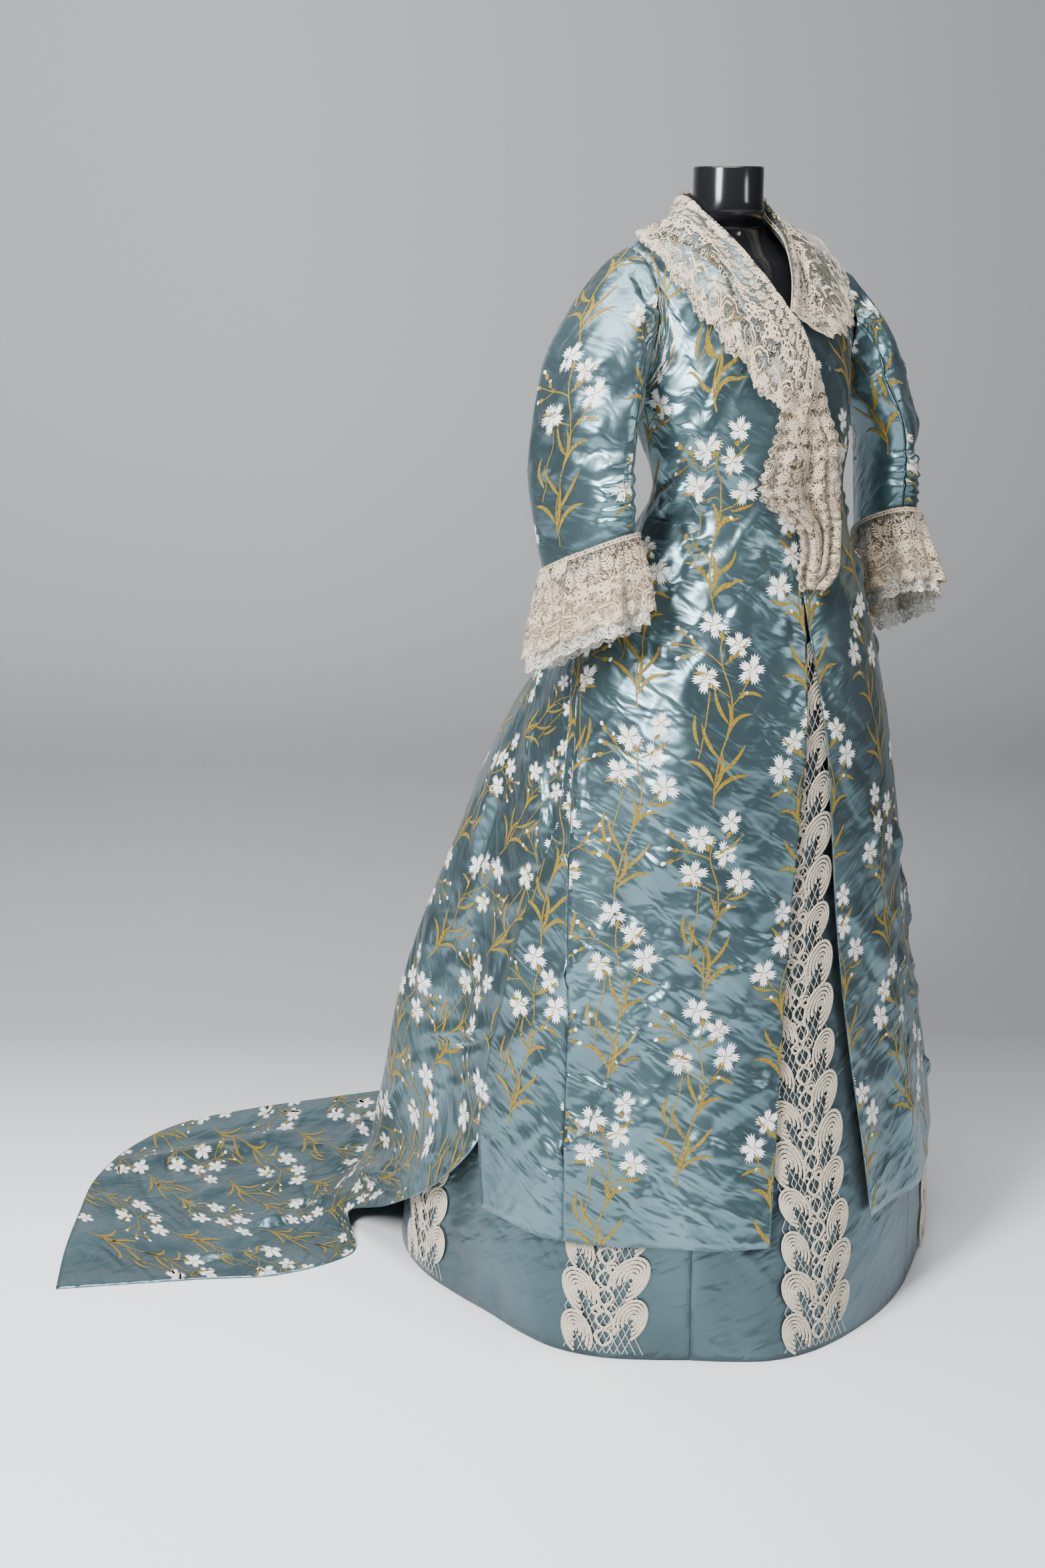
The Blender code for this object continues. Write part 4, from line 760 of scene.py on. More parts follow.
# %% Creases
# Main creases, in millimetres in the gown's frame: both ends, depth outwards and half width
CREASES = np.array((
    # x0 y0 z0 x1 y1 z1 depth width
    # Bodice and waist
    (-133, -42, 1132, -131, -96, 1173, -5, 9), (-139, -60, 1123, -125, -97, 1138, 4, 8),
    (-143, -49, 1105, -131, -89, 1127, 4, 7), (-141, -53, 1114, -131, -85, 1132, -3, 6),
    (-149, -34, 1081, -115, -120, 1095, -6, 22), (-139, -103, 1063, -116, -129, 1061, -4, 9),
    (-137, -112, 1048, -120, -132, 1039, 4, 7), (-138, -100, 1071, -116, -123, 1076, 3, 9),
    (-135, -115, 1049, -141, -121, 1017, 2.5, 8), (-94, -135, 1159, -45, -155, 1146, 2.5, 12),
    (-62, -148, 1133, -35, -157, 1146, -2, 8), (-115, -156, 968, -100, -154, 1006, -4, 14),
    (-118, -163, 934, -102, -172, 931, 2.5, 6), (-193, -68, 955, -191, -92, 925, -3, 8),
    (-175, -106, 947, -172, -122, 919, 2.5, 8), (-157, -77, 1052, -151, -96, 1044, 3, 8),
    (-84, -152, 1047, -48, -163, 1054, 2, 12), (-78, -177, 952, -25, -187, 964, 2.5, 16),
    (-141, -77, 1210, -136, -94, 1241, 2.5, 12), (-127, -102, 1110, -113, -117, 1123, 3, 8),
    # Front of the skirt
    (-297, -72, 501, -245, -118, 598, 4, 5), (-329, -106, 274, -300, -130, 312, 3, 5),
    (-291, -135, 327, -263, -145, 395, 3, 5), (-263, -145, 395, -224, -164, 457, 4, 8),
    (-220, -164, 471, -186, -181, 514, 3.5, 10), (-228, -156, 477, -200, -171, 513, -3, 9),
    (-280, -90, 540, -300, -69, 497, 3, 6), (-308, -122, 310, -292, -142, 298, 2.5, 5),
    (-250, -127, 524, -236, -143, 511, 2.5, 8), (-218, -138, 649, -179, -166, 679, 4.5, 18),
    (-163, -188, 574, -185, -179, 535, 3, 9), (-209, -158, 561, -174, -180, 580, 2.5, 8),
    (-196, -218, 292, -165, -235, 304, 2.5, 10), (-164, -233, 315, -124, -249, 326, -2.5, 10),
    (-263, -183, 232, -248, -194, 224, 2.5, 5), (-219, -141, 621, -241, -124, 591, -4, 14),
    (-159, -197, 514, -107, -218, 525, 2.5, 12), (-143, -195, 594, -112, -211, 568, -3, 14),
    (-127, -240, 358, -80, -253, 367, 3, 14), (-273, -118, 463, -299, -95, 434, 3, 9),
    (-208, -185, 401, -169, -215, 381, -3, 16), (-90, -216, 590, -55, -221, 612, 3, 12),
    (-128, -194, 689, -102, -204, 701, 3, 12), (-177, -200, 437, -139, -217, 450, 2.5, 12),
    # Side gore and train
    (-256, 128, 775, -325, 140, 508, 6, 14), (-284, 113, 708, -316, 140, 569, -8, 14),
    (-358, 206, 348, -341, 35, 401, 4, 8), (-359, 193, 338, -344, 36, 386, -3, 8),
    (-367, 221, 289, -352, 351, 108, 4, 10), (-301, -59, 516, -287, -88, 505, 3.5, 6),
    (-332, -48, 375, -305, -93, 414, 2.5, 8), (-347, 7, 375, -314, -58, 451, 3.5, 12),
    (-364, 16, 271, -347, -50, 286, -2.5, 6), (-333, -101, 267, -289, -139, 323, 3, 6),
    (-298, -82, 473, -299, -96, 432, -3, 8), (-243, 80, 829, -268, 58, 769, 4, 10),
    (-195, 117, 895, -233, 89, 848, 3, 8), (-265, 15, 778, -279, -17, 693, -4, 12),
    (-334, 164, 467, -325, 102, 466, 3, 10), (-311, 134, 590, -298, 60, 642, 3, 12),
    (-296, -29, 615, -275, -55, 669, 3, 10), (-312, 37, 571, -329, 41, 468, -5, 14),
    (-326, 212, 524, -349, 209, 407, 5, 14), (-252, -38, 788, -264, -58, 712, 2.5, 8),
    # Train on the floor
    (-596, 716, 2, -313, 687, 2, 8, 22), (-577, 682, 2, -601, 598, 2, -5, 14),
    (-301, 648, 2, -322, 528, 2, 6, 13), (-330, 631, 2, -366, 503, 2, -5, 12),
    (-444, 372, 2, -439, 331, 2, -8, 15), (-514, 423, 2, -472, 426, 2, 7, 12),
    (-529, 387, 2, -504, 414, 2, -6, 12), (-569, 419, 2, -558, 340, 2, -5, 14),
    (-457, 466, 2, -384, 441, 14, 5, 10), (-364, 370, 66, -382, 244, 126, 8, 12),
    (-376, 356, 58, -391, 204, 117, -6, 12), (-662, 387, 2, -516, 328, 2, 3, 9),
    (-578, 543, 2, -504, 579, 2, 4, 16), (-274, 596, 2, -186, 692, 2, 6, 14),
    (-687, 652, 2, -677, 566, 2, 4, 14),
    # Sleeve
    (-174, -18, 1410, -180, -75, 1361, 4, 5), (-173, -28, 1405, -175, -72, 1366, -5, 7),
    (-180, -75, 1359, -186, -91, 1313, -5, 8), (-174, -52, 1388, -157, -72, 1359, -4, 8),
    (-135, -24, 1417, -141, -50, 1382, 3, 4), (-276, 8, 1274, -268, -33, 1292, -3, 12),
    (-294, 5, 1185, -287, -48, 1195, -3, 14), (-280, -67, 1188, -235, -116, 1195, -3, 12),
    (-296, -13, 1147, -287, -53, 1140, -3, 12), (-290, -9, 1078, -285, -51, 1076, -3, 12),
    (-261, -60, 1283, -233, -84, 1304, 2.5, 12), (-247, 10, 1335, -235, -34, 1348, 2.5, 12),
    (-280, -61, 1217, -250, -100, 1229, 2.5, 14), (-291, -11, 1218, -283, -32, 1240, 2.5, 12),
    (-246, -94, 1254, -215, -104, 1263, -2.5, 12), (-259, -101, 1175, -226, -116, 1185, 2.2, 3),
    (-261, -99, 1154, -225, -118, 1159, 2.2, 3), (-257, -103, 1143, -217, -108, 1144, 2.2, 3),
    (-263, -98, 1131, -224, -115, 1135, 2.2, 3), (-260, -99, 1120, -225, -117, 1124, 2.2, 3),
    (-264, -95, 1106, -223, -114, 1111, 2.2, 3),
)) / 1000
# The other side has similar creases, a little lower where they don't lie on the floor
OTHER_DROP, OTHER_ABOVE = 0.022, 0.1
OTHER_CREASES = CREASES.copy()
OTHER_CREASES[:, (0, 3)] *= -1
OTHER_CREASES[:, (2, 5)] -= OTHER_DROP * (CREASES[:, (2, 5)] > OTHER_ABOVE)
# How much deeper they are all pressed, the most that they raise a point, and how far off the cloth
# they reach
CREASE_DEPTH, CREASE_LIMIT, CREASE_REACH = 2.0, 0.013, 0.035
print(len(CREASES), "creases a side")


def crease_heights(points, normals, creases):
    """How far each point is raised by the creases near it. A crease is a line between two points of
    the cloth, with its depth outwards and its half width. It fades towards its ends."""
    heights = np.zeros(points.shape[:-1])
    for crease in creases:
        start, end, (depth, width) = crease[:3], crease[3:6], crease[6:]
        line = end - start
        share = np.clip((points - start) @ line / (line @ line), 0, 1)
        off = points - (start + share[..., None] * line)
        away = (off * normals).sum(-1, keepdims=True)
        off -= 0.8 * away * normals
        distance = np.linalg.norm(off, axis=-1) / width
        side = np.sign((np.cross(normals, line) * off).sum(-1))
        fade = np.clip(4 * share * (1 - share), 0, 1) ** 0.6
        near = np.exp(-((away[..., 0] / CREASE_REACH) ** 2))
        heights += depth * fade * near * np.exp(-distance**2) * (1 + 0.35 * side * distance)
    return CREASE_LIMIT * np.tanh(CREASE_DEPTH * heights / CREASE_LIMIT)


# %% [markdown]
# Each cloth is one grid that is made by an operator and then moved onto its surface. Its UV map is
# in metres from the hem up, so the weave, the crinkle and the woven flowers keep their real scale
# on every panel. Solidify gives the shell its thickness inwards, away from the eye.

# %% Cloth panels
CELL, FINE_CELL = 0.007, 0.005
# A shell is a little thinner than its packed wall, so neighbours stay clear of each other
SHELL_SHARE = 0.9
panels = {}


def scalloped(place, count, depth):
    """How far an edge is cut back between its scallops."""
    return depth * (1 - np.abs(np.sin(math.pi * count * place)) ** 0.8)


def lay_cloth(
    name, surface, columns, rows, outwards, raised,
    cell=CELL, creases=(), start=0.5, hem=(0, 0.0), edges=(0, 0.0), frill=(0, 0.0), from_top=False,
):
    """Work out a panel's fine grid of points, and its sizes in flat cloth. Start is the share across
    that hangs on the straight grain. Hem and edges are scallops, and frill is waves that grow
    downwards, each as a number and a depth. Heights are measured up from the hem, or down from the
    top where the hem spreads into a train."""
    nodes = np.array([[surface(i / columns, k / rows) for i in range(columns + 1)] for k in range(rows + 1)])
    nodes += raised * outwards * facing(nodes)
    width, length = lengths(nodes, 1)[:, -1].max(), lengths(nodes, 0)[-1].mean()
    across, down = np.meshgrid(*(np.linspace(0, 1, math.ceil(size / cell) + 1) for size in (width, length)))
    waves = frill[1] * down**1.5 * np.sin(2 * math.pi * frill[0] * across + 1.5 * np.sin(9 * across))
    down = down * (1 - scalloped(across, *hem))
    across = 0.5 + (across - 0.5) * (1 - scalloped(down, *edges))
    points = smooth_surface(nodes, across, down)
    normals = facing(points) * outwards
    points += (waves + crease_heights(points, normals, creases))[..., None] * normals
    # Nothing goes through the floor
    points[..., 2] = np.maximum(points[..., 2], SATIN_WALL)
    above = lengths(points, 0)
    above = above[-1].mean() - above if from_top else above[-1] - above
    panels[name] = dict(points=points, rights=lengths(points, 1), above=above, outwards=outwards, start=start)


def from_start(panel, start):
    """Lengths along every row, measured from the column at the share start."""
    rights = panel["rights"]
    column = start * (rights.shape[1] - 1)
    i = min(int(column), rights.shape[1] - 2)
    begin = rights[:, i] + (column - i) * (rights[:, i + 1] - rights[:, i])
    return rights - begin[:, None]


def cut_size(panel):
    """Width and length of the cloth that shows, laid flat."""
    return float(panel["rights"][:, -1].max()), float(panel["above"][0].mean())


def finished(bm, name):
    """Turn a bmesh into a mesh."""
    mesh = bpy.data.meshes.new(name)
    bm.to_mesh(mesh)
    bm.free()
    return mesh


def places_of(mesh):
    """The mesh's vertices, as rows of x, y and z."""
    flat = np.empty(len(mesh.vertices) * 3)
    mesh.vertices.foreach_get("co", flat)
    return flat.reshape(-1, 3)


def put(name, data):
    """Make an object and link it into the scene."""
    made = bpy.data.objects.new(name, data)
    bpy.context.scene.collection.objects.link(made)
    return made


def add_piece(name, mesh, materials, places=None):
    """Put a mesh in as a piece that rides on the gown, with its vertices moved to new places."""
    if places is not None:
        mesh.vertices.foreach_set("co", places.ravel())
    mesh.shade_smooth()
    piece = put(name, mesh)
    for material in materials:
        mesh.materials.append(material)
    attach(piece, "root")
    return piece


def add_cloth(name, panel, wall, material):
    """Make a panel's grid into a shell of cloth, or into a single skin where the wall is 0."""
    points = panel["points"]
    rows, columns = points.shape[0] - 1, points.shape[1] - 1
    bm = bmesh.new()
    bm.loops.layers.uv.new("cloth")
    bmesh.ops.create_grid(bm, x_segments=columns, y_segments=rows, size=0.5, calc_uvs=True)
    if panel["outwards"] < 0:
        bmesh.ops.reverse_faces(bm, faces=bm.faces)
    mesh = finished(bm, name)
    i, k, _ = np.rint((places_of(mesh) + 0.5) * (columns, rows, 0)).astype(int).T
    corners = np.empty(len(mesh.loops), int)
    mesh.loops.foreach_get("vertex_index", corners)
    uv = np.stack([from_start(panel, panel["start"])[k, i], panel["above"][k, i]], axis=1)[corners]
    mesh.uv_layers[0].data.foreach_set("uv", uv.ravel())
    piece = add_piece(name, mesh, [material], points[k, i])
    if wall:
        shell = piece.modifiers.new("thickness", "SOLIDIFY")
        shell.thickness, shell.offset = wall * SHELL_SHARE, -1
    return piece


# %% [markdown]
# The woven flowers and the lace patterns are drawn once, flat, and laid many times. A layout is
# turned into shares of the panel, trimmed there at the panel's four edges with bisect_plane, and
# then dropped onto the fine grid, a hair above it. So a flower runs into a seam as real cloth does.

# %% Flat layouts dropped onto a panel
# How many steps the tables of lengths have, how often the two shares are found in turn, and how far
# the tables run past the cloth
STEPS, TURNS, MARGIN = 400, 16, 0.3


def on_grid(points, across, down):
    """Points of a fine grid at shares across and down, straight between its own points."""
    k, i, x, y = cells(points, across, down)
    x, y = x[:, None], y[:, None]
    upper = points[k, i] * (1 - x) + points[k, i + 1] * x
    lower = points[k + 1, i] * (1 - x) + points[k + 1, i + 1] * x
    return upper * (1 - y) + lower * y


def extended(places, known, values):
    """Interpolate, and carry straight on past both ends."""
    slope = (values[-1] - values[0]) / max(known[-1] - known[0], 1e-6)
    past = np.minimum(places - known[0], 0) + np.maximum(places - known[-1], 0)
    return np.interp(places, known, values) + slope * past


def shares_at(panel, flat, start):
    """Shares across and down of places in metres, from the lengths along every row and column. Each
    depends on the other, so they are found in turns, each going half of the way."""
    rights, above = from_start(panel, start), panel["above"]
    reach, low, top = np.abs(rights).max() + MARGIN, above.min() - MARGIN, above.max() + MARGIN
    sides, ups = np.linspace(-reach, reach, STEPS), np.linspace(low, top, STEPS)
    by_row = np.array([extended(sides, row, np.linspace(0, 1, len(row))) for row in rights])
    by_column = [extended(ups, column[::-1], np.linspace(1, 0, len(column))) for column in above.T]
    by_column = np.array(by_column).T
    across = np.full(len(flat), float(start))
    for turn in range(TURNS):
        down = on_grid(by_column[..., None], across, (flat[:, 1] - low) / (top - low))[:, 0]
        across += 0.5 * (on_grid(by_row[..., None], (flat[:, 0] + reach) / (2 * reach), down)[:, 0] - across)
    return across, down


def shares_near(panel, flat, centres):
    """Shares across and down on a panel that is wider at its edge, measured round each centre."""
    width, length = cut_size(panel)
    across = panel["start"] + centres[:, 0] / width
    down = 1 - centres[:, 1] / length
    here, tall = (
        np.interp(share, np.linspace(0, 1, len(sizes)), sizes)
        for share, sizes in ((down, panel["rights"][:, -1]), (across, panel["above"][0]))
    )
    return across + (flat - centres)[:, 0] / here, down - (flat - centres)[:, 1] / tall


def drop_on(name, panel, layout, materials, slot, lift, start=None, edge=0.0015, fanned=False):
    """Make a piece from a layout: rows of a flat pattern, its place (right, up), its turn in degrees,
    its scale, and 1 or -1 for one that is turned over. On a fanned panel every pattern keeps its own
    shape, and their places spread with the panel."""
    bm = bmesh.new()
    centres = []
    for pattern, right, up, turn, scale, flip in layout:
        first = len(bm.verts)
        centres += [(right, up)] * len(pattern.vertices)
        bm.from_mesh(pattern)
        bm.verts.ensure_lookup_table()
        cosine, sine = (part * scale for part in turned(turn))
        for vertex in bm.verts[first:]:
            x, y, z = vertex.co
            x *= flip
            vertex.co = (right + x * cosine - y * sine, up + x * sine + y * cosine, z)
    flat = np.array([vertex.co[:2] for vertex in bm.verts])
    if fanned:
        found = shares_near(panel, flat, np.array(centres))
    else:
        found = shares_at(panel, flat, panel["start"] if start is None else start)
    for vertex, across, down in zip(bm.verts, *found):
        vertex.co.xy = across, down
    for axis, size in enumerate(cut_size(panel)):
        for side in (-1, 1):
            place, normal = [0.5, 0.5, 0.0], [0.0, 0.0, 0.0]
            place[axis] += side * (0.5 - edge / size)
            normal[axis] = side
            parts = bm.verts[:] + bm.edges[:] + bm.faces[:]
            bmesh.ops.bisect_plane(bm, geom=parts, plane_co=place, plane_no=normal, clear_outer=True)
    if panel["outwards"] < 0:
        bmesh.ops.reverse_faces(bm, faces=bm.faces)
    mesh = finished(bm, name)
    across, down, heights = places_of(mesh).T
    places = on_grid(panel["points"], across, down)
    normals = on_grid(facing(panel["points"]) * panel["outwards"], across, down)
    return add_piece(name, mesh, materials, places + normals * (lift + heights)[:, None])


# %% [markdown]
# Silk satin is smooth thread floated over the weave, so it is glossy along a soft crease and dull
# between. Four things make that look: a fairly low roughness, a very fine streak along the warp, a
# low crinkle that breaks the reflections up, and painted shade and sheen, the satin's colour made
# darker and lighter over the crinkle's dents. The satins share the streak and the crinkle, so these
# are a node group with named inputs.

# %% Shader nodes
def node(tree, kind, values=(), **settings):
    """Add a shader node. Each of its values is a plain one, or another node's output to link."""
    made = tree.nodes.new("ShaderNode" + kind)
    for name, setting in settings.items():
        setattr(made, name, setting)
    for name, value in dict(values).items():
        if isinstance(value, bpy.types.NodeSocket):
            tree.links.new(value, made.inputs[name])
        else:
            made.inputs[name].default_value = value
    return made.outputs


def noise(tree, vector, scale=1.0, detail=3.0, roughness=0.5, distortion=0.0, kind="FBM"):
    values = dict(Vector=vector, Scale=scale, Detail=detail, Roughness=roughness, Distortion=distortion)
    return node(tree, "TexNoise", values, noise_type=kind)["Fac"]


def scaled(tree, vector, scale, turn=0.0):
    """Turn a vector about Z by some degrees, then scale it. The Texture kind divides by its scale."""
    values = dict(Vector=vector, Rotation=(0.0, 0.0, math.radians(turn)), Scale=[1 / size for size in scale])
    return node(tree, "Mapping", values, vector_type="TEXTURE")["Vector"]


def split(tree, vector):
    return node(tree, "SeparateXYZ", dict(Vector=vector))


def relief(tree, height, strength, distance, **normal):
    return node(tree, "Bump", dict(Height=height, Strength=strength, Distance=distance, **normal))["Normal"]


def ranged(tree, value, low, high, start=0.0, end=1.0):
    """A value from low to high, as one from start to end."""
    values = {"Value": value, "From Min": low, "From Max": high, "To Min": start, "To Max": end}
    return node(tree, "MapRange", values)["Result"]


def calculated(tree, operation, *values):
    return node(tree, "Math", enumerate(values), operation=operation)["Value"]


def blended(tree, kind, a, b):
    return node(tree, "Mix", dict(Factor=1.0, A=a, B=b), data_type="RGBA", blend_type=kind)["Result"]


def ramp(tree, value, *stops):
    """Colours or greys from a value: stops are (place, colour)."""
    colours = node(tree, "ValToRGB", dict(Fac=value))["Color"]
    elements = colours.node.color_ramp.elements
    while len(elements) < len(stops):
        elements.new(0.5)
    for element, (place, colour) in zip(elements, stops):
        element.position, element.color = place, (*colour, 1.0)
    return colours


def shades(tree, value, colour, low, dark, high, light):
    """A colour that is darker where the value is low, and lighter where it is high."""
    stops = ((low, dark), (high, light))
    return ramp(tree, value, *((at, [min(1.0, part * share) for part in colour]) for at, share in stops))


def crinkle_group():
    """Normals of cloth that has been folded away: dents, small wrinkles and threads. Its Shade output is the
    dents again, which paint shade and sheen onto a satin's colour.
    """
    group = bpy.data.node_groups.new("crinkled cloth", "ShaderNodeTree")
    for label, direction, kind in (
        ("Place", "INPUT", "Vector"), ("Flat", "INPUT", "Vector"),
        ("Normal", "OUTPUT", "Vector"), ("Shade", "OUTPUT", "Float"),
    ):
        group.interface.new_socket(label, in_out=direction, socket_type="NodeSocket" + kind)
    entry, leave = group.nodes.new("NodeGroupInput").outputs, group.nodes.new("NodeGroupOutput").inputs
    flat = entry["Flat"]
    dents = noise(group, scaled(group, entry["Place"], (8, 8, 5)), 1.0, 1.0, 0.5, 0.3)
    wrinkles = noise(group, scaled(group, flat, (15, 38, 1), 28), 1.0, 2.0, 0.5, 0.4)
    cross = noise(group, scaled(group, flat, (9, 22, 1), -50), 1.0, 1.0, 0.5, 0.6, "RIDGED_MULTIFRACTAL")
    threads = noise(group, scaled(group, flat, (2400, 90, 1)), 1.0, 2.0)
    normal = relief(group, dents, 0.90, 0.030)
    finer = ((wrinkles, 0.70, 0.0085), (cross, 0.70, 0.0110), (threads, 0.20, 0.0004))
    for height, strength, distance in finer:
        normal = relief(group, height, strength, distance, Normal=normal)
    group.links.new(normal, leave["Normal"])
    group.links.new(dents, leave["Shade"])
    return group


CRINKLE = crinkle_group()
print("crinkle group:", len(CRINKLE.nodes), "nodes")


# %% Finishes
def finish(name, colour, roughness, metallic=0.0, sheen=0.0, specular=0.5, anisotropic=0.0):
    """A material with plain values."""
    made = bpy.data.materials.new(name)
    made.use_nodes = True
    values = {
        "Base Color": (*colour, 1.0), "Roughness": roughness, "Metallic": metallic, "Sheen Weight": sheen,
        "Specular IOR Level": specular, "Anisotropic": anisotropic,
    }
    for label, value in values.items():
        made.node_tree.nodes["Principled BSDF"].inputs[label].default_value = value
    return made


def coordinates(tree):
    """Places in metres, and places in flat cloth."""
    found = node(tree, "TexCoord")
    return found["Object"], found["UV"]


def feed(made, **outputs):
    """Link outputs to the shader's own sockets, with _ for a space in their names."""
    tree = made.node_tree
    for label, output in outputs.items():
        tree.links.new(output, tree.nodes["Principled BSDF"].inputs[label.replace("_", " ")])
    return made


def satin(name, colour, roughness):
    made = finish(name, colour, roughness, metallic=0.86, sheen=0.05, anisotropic=0.3)
    tree = made.node_tree
    place, flat = coordinates(tree)
    crinkle = node(tree, "Group", dict(Place=place, Flat=flat), node_tree=CRINKLE)
    # Painted shade and sheen: the dents make the satin's colour darker and lighter
    colours = shades(tree, crinkle["Shade"], colour, 0.40, 0.84, 0.62, 1.12)
    return feed(made, Normal=crinkle["Normal"], Base_Color=colours)


def silk(name, colour, roughness, streak):
    """Woven silk of a flower or a leaf, with its threads as a streak."""
    made = finish(name, colour, roughness, specular=0.4, sheen=0.1)
    tree = made.node_tree
    threads = noise(tree, scaled(tree, coordinates(tree)[0], (420, 420, 420)), 1.0, 2.0)
    colours = shades(tree, threads, colour, 0.35, 1 - streak, 0.65, 1 + streak)
    return feed(made, Base_Color=colours, Normal=relief(tree, threads, 0.5, 0.0004))


BROCADE = satin("brocade satin", (0.130, 0.215, 0.240), 0.31)
# The underskirt's satin is darker than the brocade's, as painted shade from the overdress round the opening.
# The collar's satin uses it too.
UNDERSKIRT_SATIN = satin("underskirt satin", (0.080, 0.125, 0.140), 0.42)
WHITE_SILK = silk("white silk", (0.790, 0.800, 0.760), 0.50, 0.12)
GOLD_SILK = silk("gold silk", (0.215, 0.145, 0.012), 0.45, 0.35)
FORM_BLACK = finish("gloss black", (0.010, 0.010, 0.012), 0.16)
STEEL = finish("brushed steel", (0.420, 0.420, 0.430), 0.35, metallic=1.0)
print("finishes:", [made.name for made in bpy.data.materials])


# %% [markdown]
# The brocade's sprays are woven pinks: a ragged white head of a dozen toothed petals, with gold
# stems and lance leaves, and buds with white tips. Drawing them as thin shapes a hair above the
# satin keeps their edges crisp at any distance, which a noise texture could not do. A head is a
# circle whose rim is cut back between the petals. Every leaf, stem, calyx and bud is one strip.

# %% Strips and heads, drawn flat
WHITE, GOLD = 0, 1
PETALS, TEETH = 5, 12
PETAL_RIM = (0.20, 0.62, 0.54, 0.94, 0.72, 1.00, 0.74, 1.00, 0.72, 0.94, 0.54, 0.66)
HEART_LIFT = 0.00015


def drawn(name, draw, *parts):
    """A flat pattern as a mesh, from a function that draws it in a bmesh."""
    bm = bmesh.new()
    bm.loops.layers.uv.new("cloth")
    draw(bm, *parts)
    mesh = finished(bm, name)
    print(name, len(mesh.polygons), "faces")
    return mesh


def new_strip(bm, segments, across, length, material):
    """A strip's grid, whose UV gets its real length along in metres. Across it runs from 0 to 1."""
    grid = dict(x_segments=segments, y_segments=across, size=0.5, calc_uvs=True)
    verts = bmesh.ops.create_grid(bm, **grid)["verts"]
    layer = bm.loops.layers.uv.active
    for face in {face for vertex in verts for face in vertex.link_faces}:
        face.material_index = material
        for corner in face.loops:
            corner[layer].uv.x *= length
    return verts


def strip(bm, start, bow, end, width, segments, material=WHITE, taper=1.0, rise=0.0, across=1):
    """A leaf, stem or tape along a bent line, in millimetres. Taper 1 comes to a point at both ends
    and 0 keeps its width. Rise lifts its middle line."""
    start, bow, end = (Vector(point).to_2d() / 1000 for point in (start, bow, end))
    length = ((bow - start).length + (end - bow).length + (end - start).length) / 2
    verts = new_strip(bm, segments, across, length, material)
    for vertex in verts:
        t, side = vertex.co.x + 0.5, 2 * vertex.co.y
        place = start * (1 - t) ** 2 + bow * 2 * t * (1 - t) + end * t * t
        way = ((bow - start) * (1 - t) + (end - bow) * t).normalized()
        half = 0.0005 * width * ((4 * t * (1 - t)) ** 0.7 * taper + (1 - taper))
        vertex.co = place.to_3d() + Vector((-way.y, way.x, 0)) * half * side
        vertex.co.z = rise / 1000 * (1 - side * side)
    return verts


def head(bm, x, y, radius, turn=0.0, squash=1.0):
    """A pink's head, seen from the front, with its gold heart. Squash narrows one seen aslant."""
    first = len(bm.verts)
    bmesh.ops.create_circle(bm, cap_ends=True, cap_tris=True, segments=PETALS * TEETH, radius=1.0)
    bm.verts.ensure_lookup_table()
    rim = [vertex for vertex in bm.verts[first:] if vertex.co.length > 0.5]
    spokes = {edge for vertex in rim for edge in vertex.link_edges if edge.calc_length() > 0.5}
    for vertex in rim:
        angle = math.atan2(vertex.co.y, vertex.co.x)
        petal, tooth = divmod(round(angle / (2 * math.pi) * PETALS * TEETH) % (PETALS * TEETH), TEETH)
        vertex.co *= PETAL_RIM[tooth] * (1 + 0.07 * math.sin(2.4 * petal + x))
    bmesh.ops.subdivide_edges(bm, edges=list(spokes), cuts=1)
    bm.verts.ensure_lookup_table()
    cosine, sine = turned(turn)
    for vertex in bm.verts[first:]:
        px, py = vertex.co.x * radius, vertex.co.y * radius * squash
        vertex.co = ((x + px * cosine - py * sine) / 1000, (y + px * sine + py * cosine) / 1000, 0.0)
    for spread in (-50, 10, 70, 160):
        along_x, along_y = (0.42 * radius * part for part in turned(spread + turn))
        bow = (x + along_x / 2, y + along_y / 2 + 0.6)
        for vertex in strip(bm, (x, y), bow, (x + along_x, y + along_y), 1.3, 2, GOLD):
            vertex.co.z += HEART_LIFT


def bud(bm, x, y, turn, size=1.0):
    """A gold calyx with a white tip, pointing along its turn."""
    foot, way = Vector((x, y)), Vector(turned(turn)) * size
    neck, tip = foot + way * 13, foot + way * 19
    strip(bm, foot, (foot + neck) / 2, neck, 6.5 * size, 4, GOLD)
    strip(bm, neck - way * 2, (neck + tip) / 2, tip, 6.0 * size, 3, WHITE)


# %% [markdown]
# Two sprays alternate up each column, and each is turned over on its way up, as a drop repeat does.
# The tables give the spray's own places in millimetres: where a stem or leaf starts, the point that
# it bends towards, and where it ends.

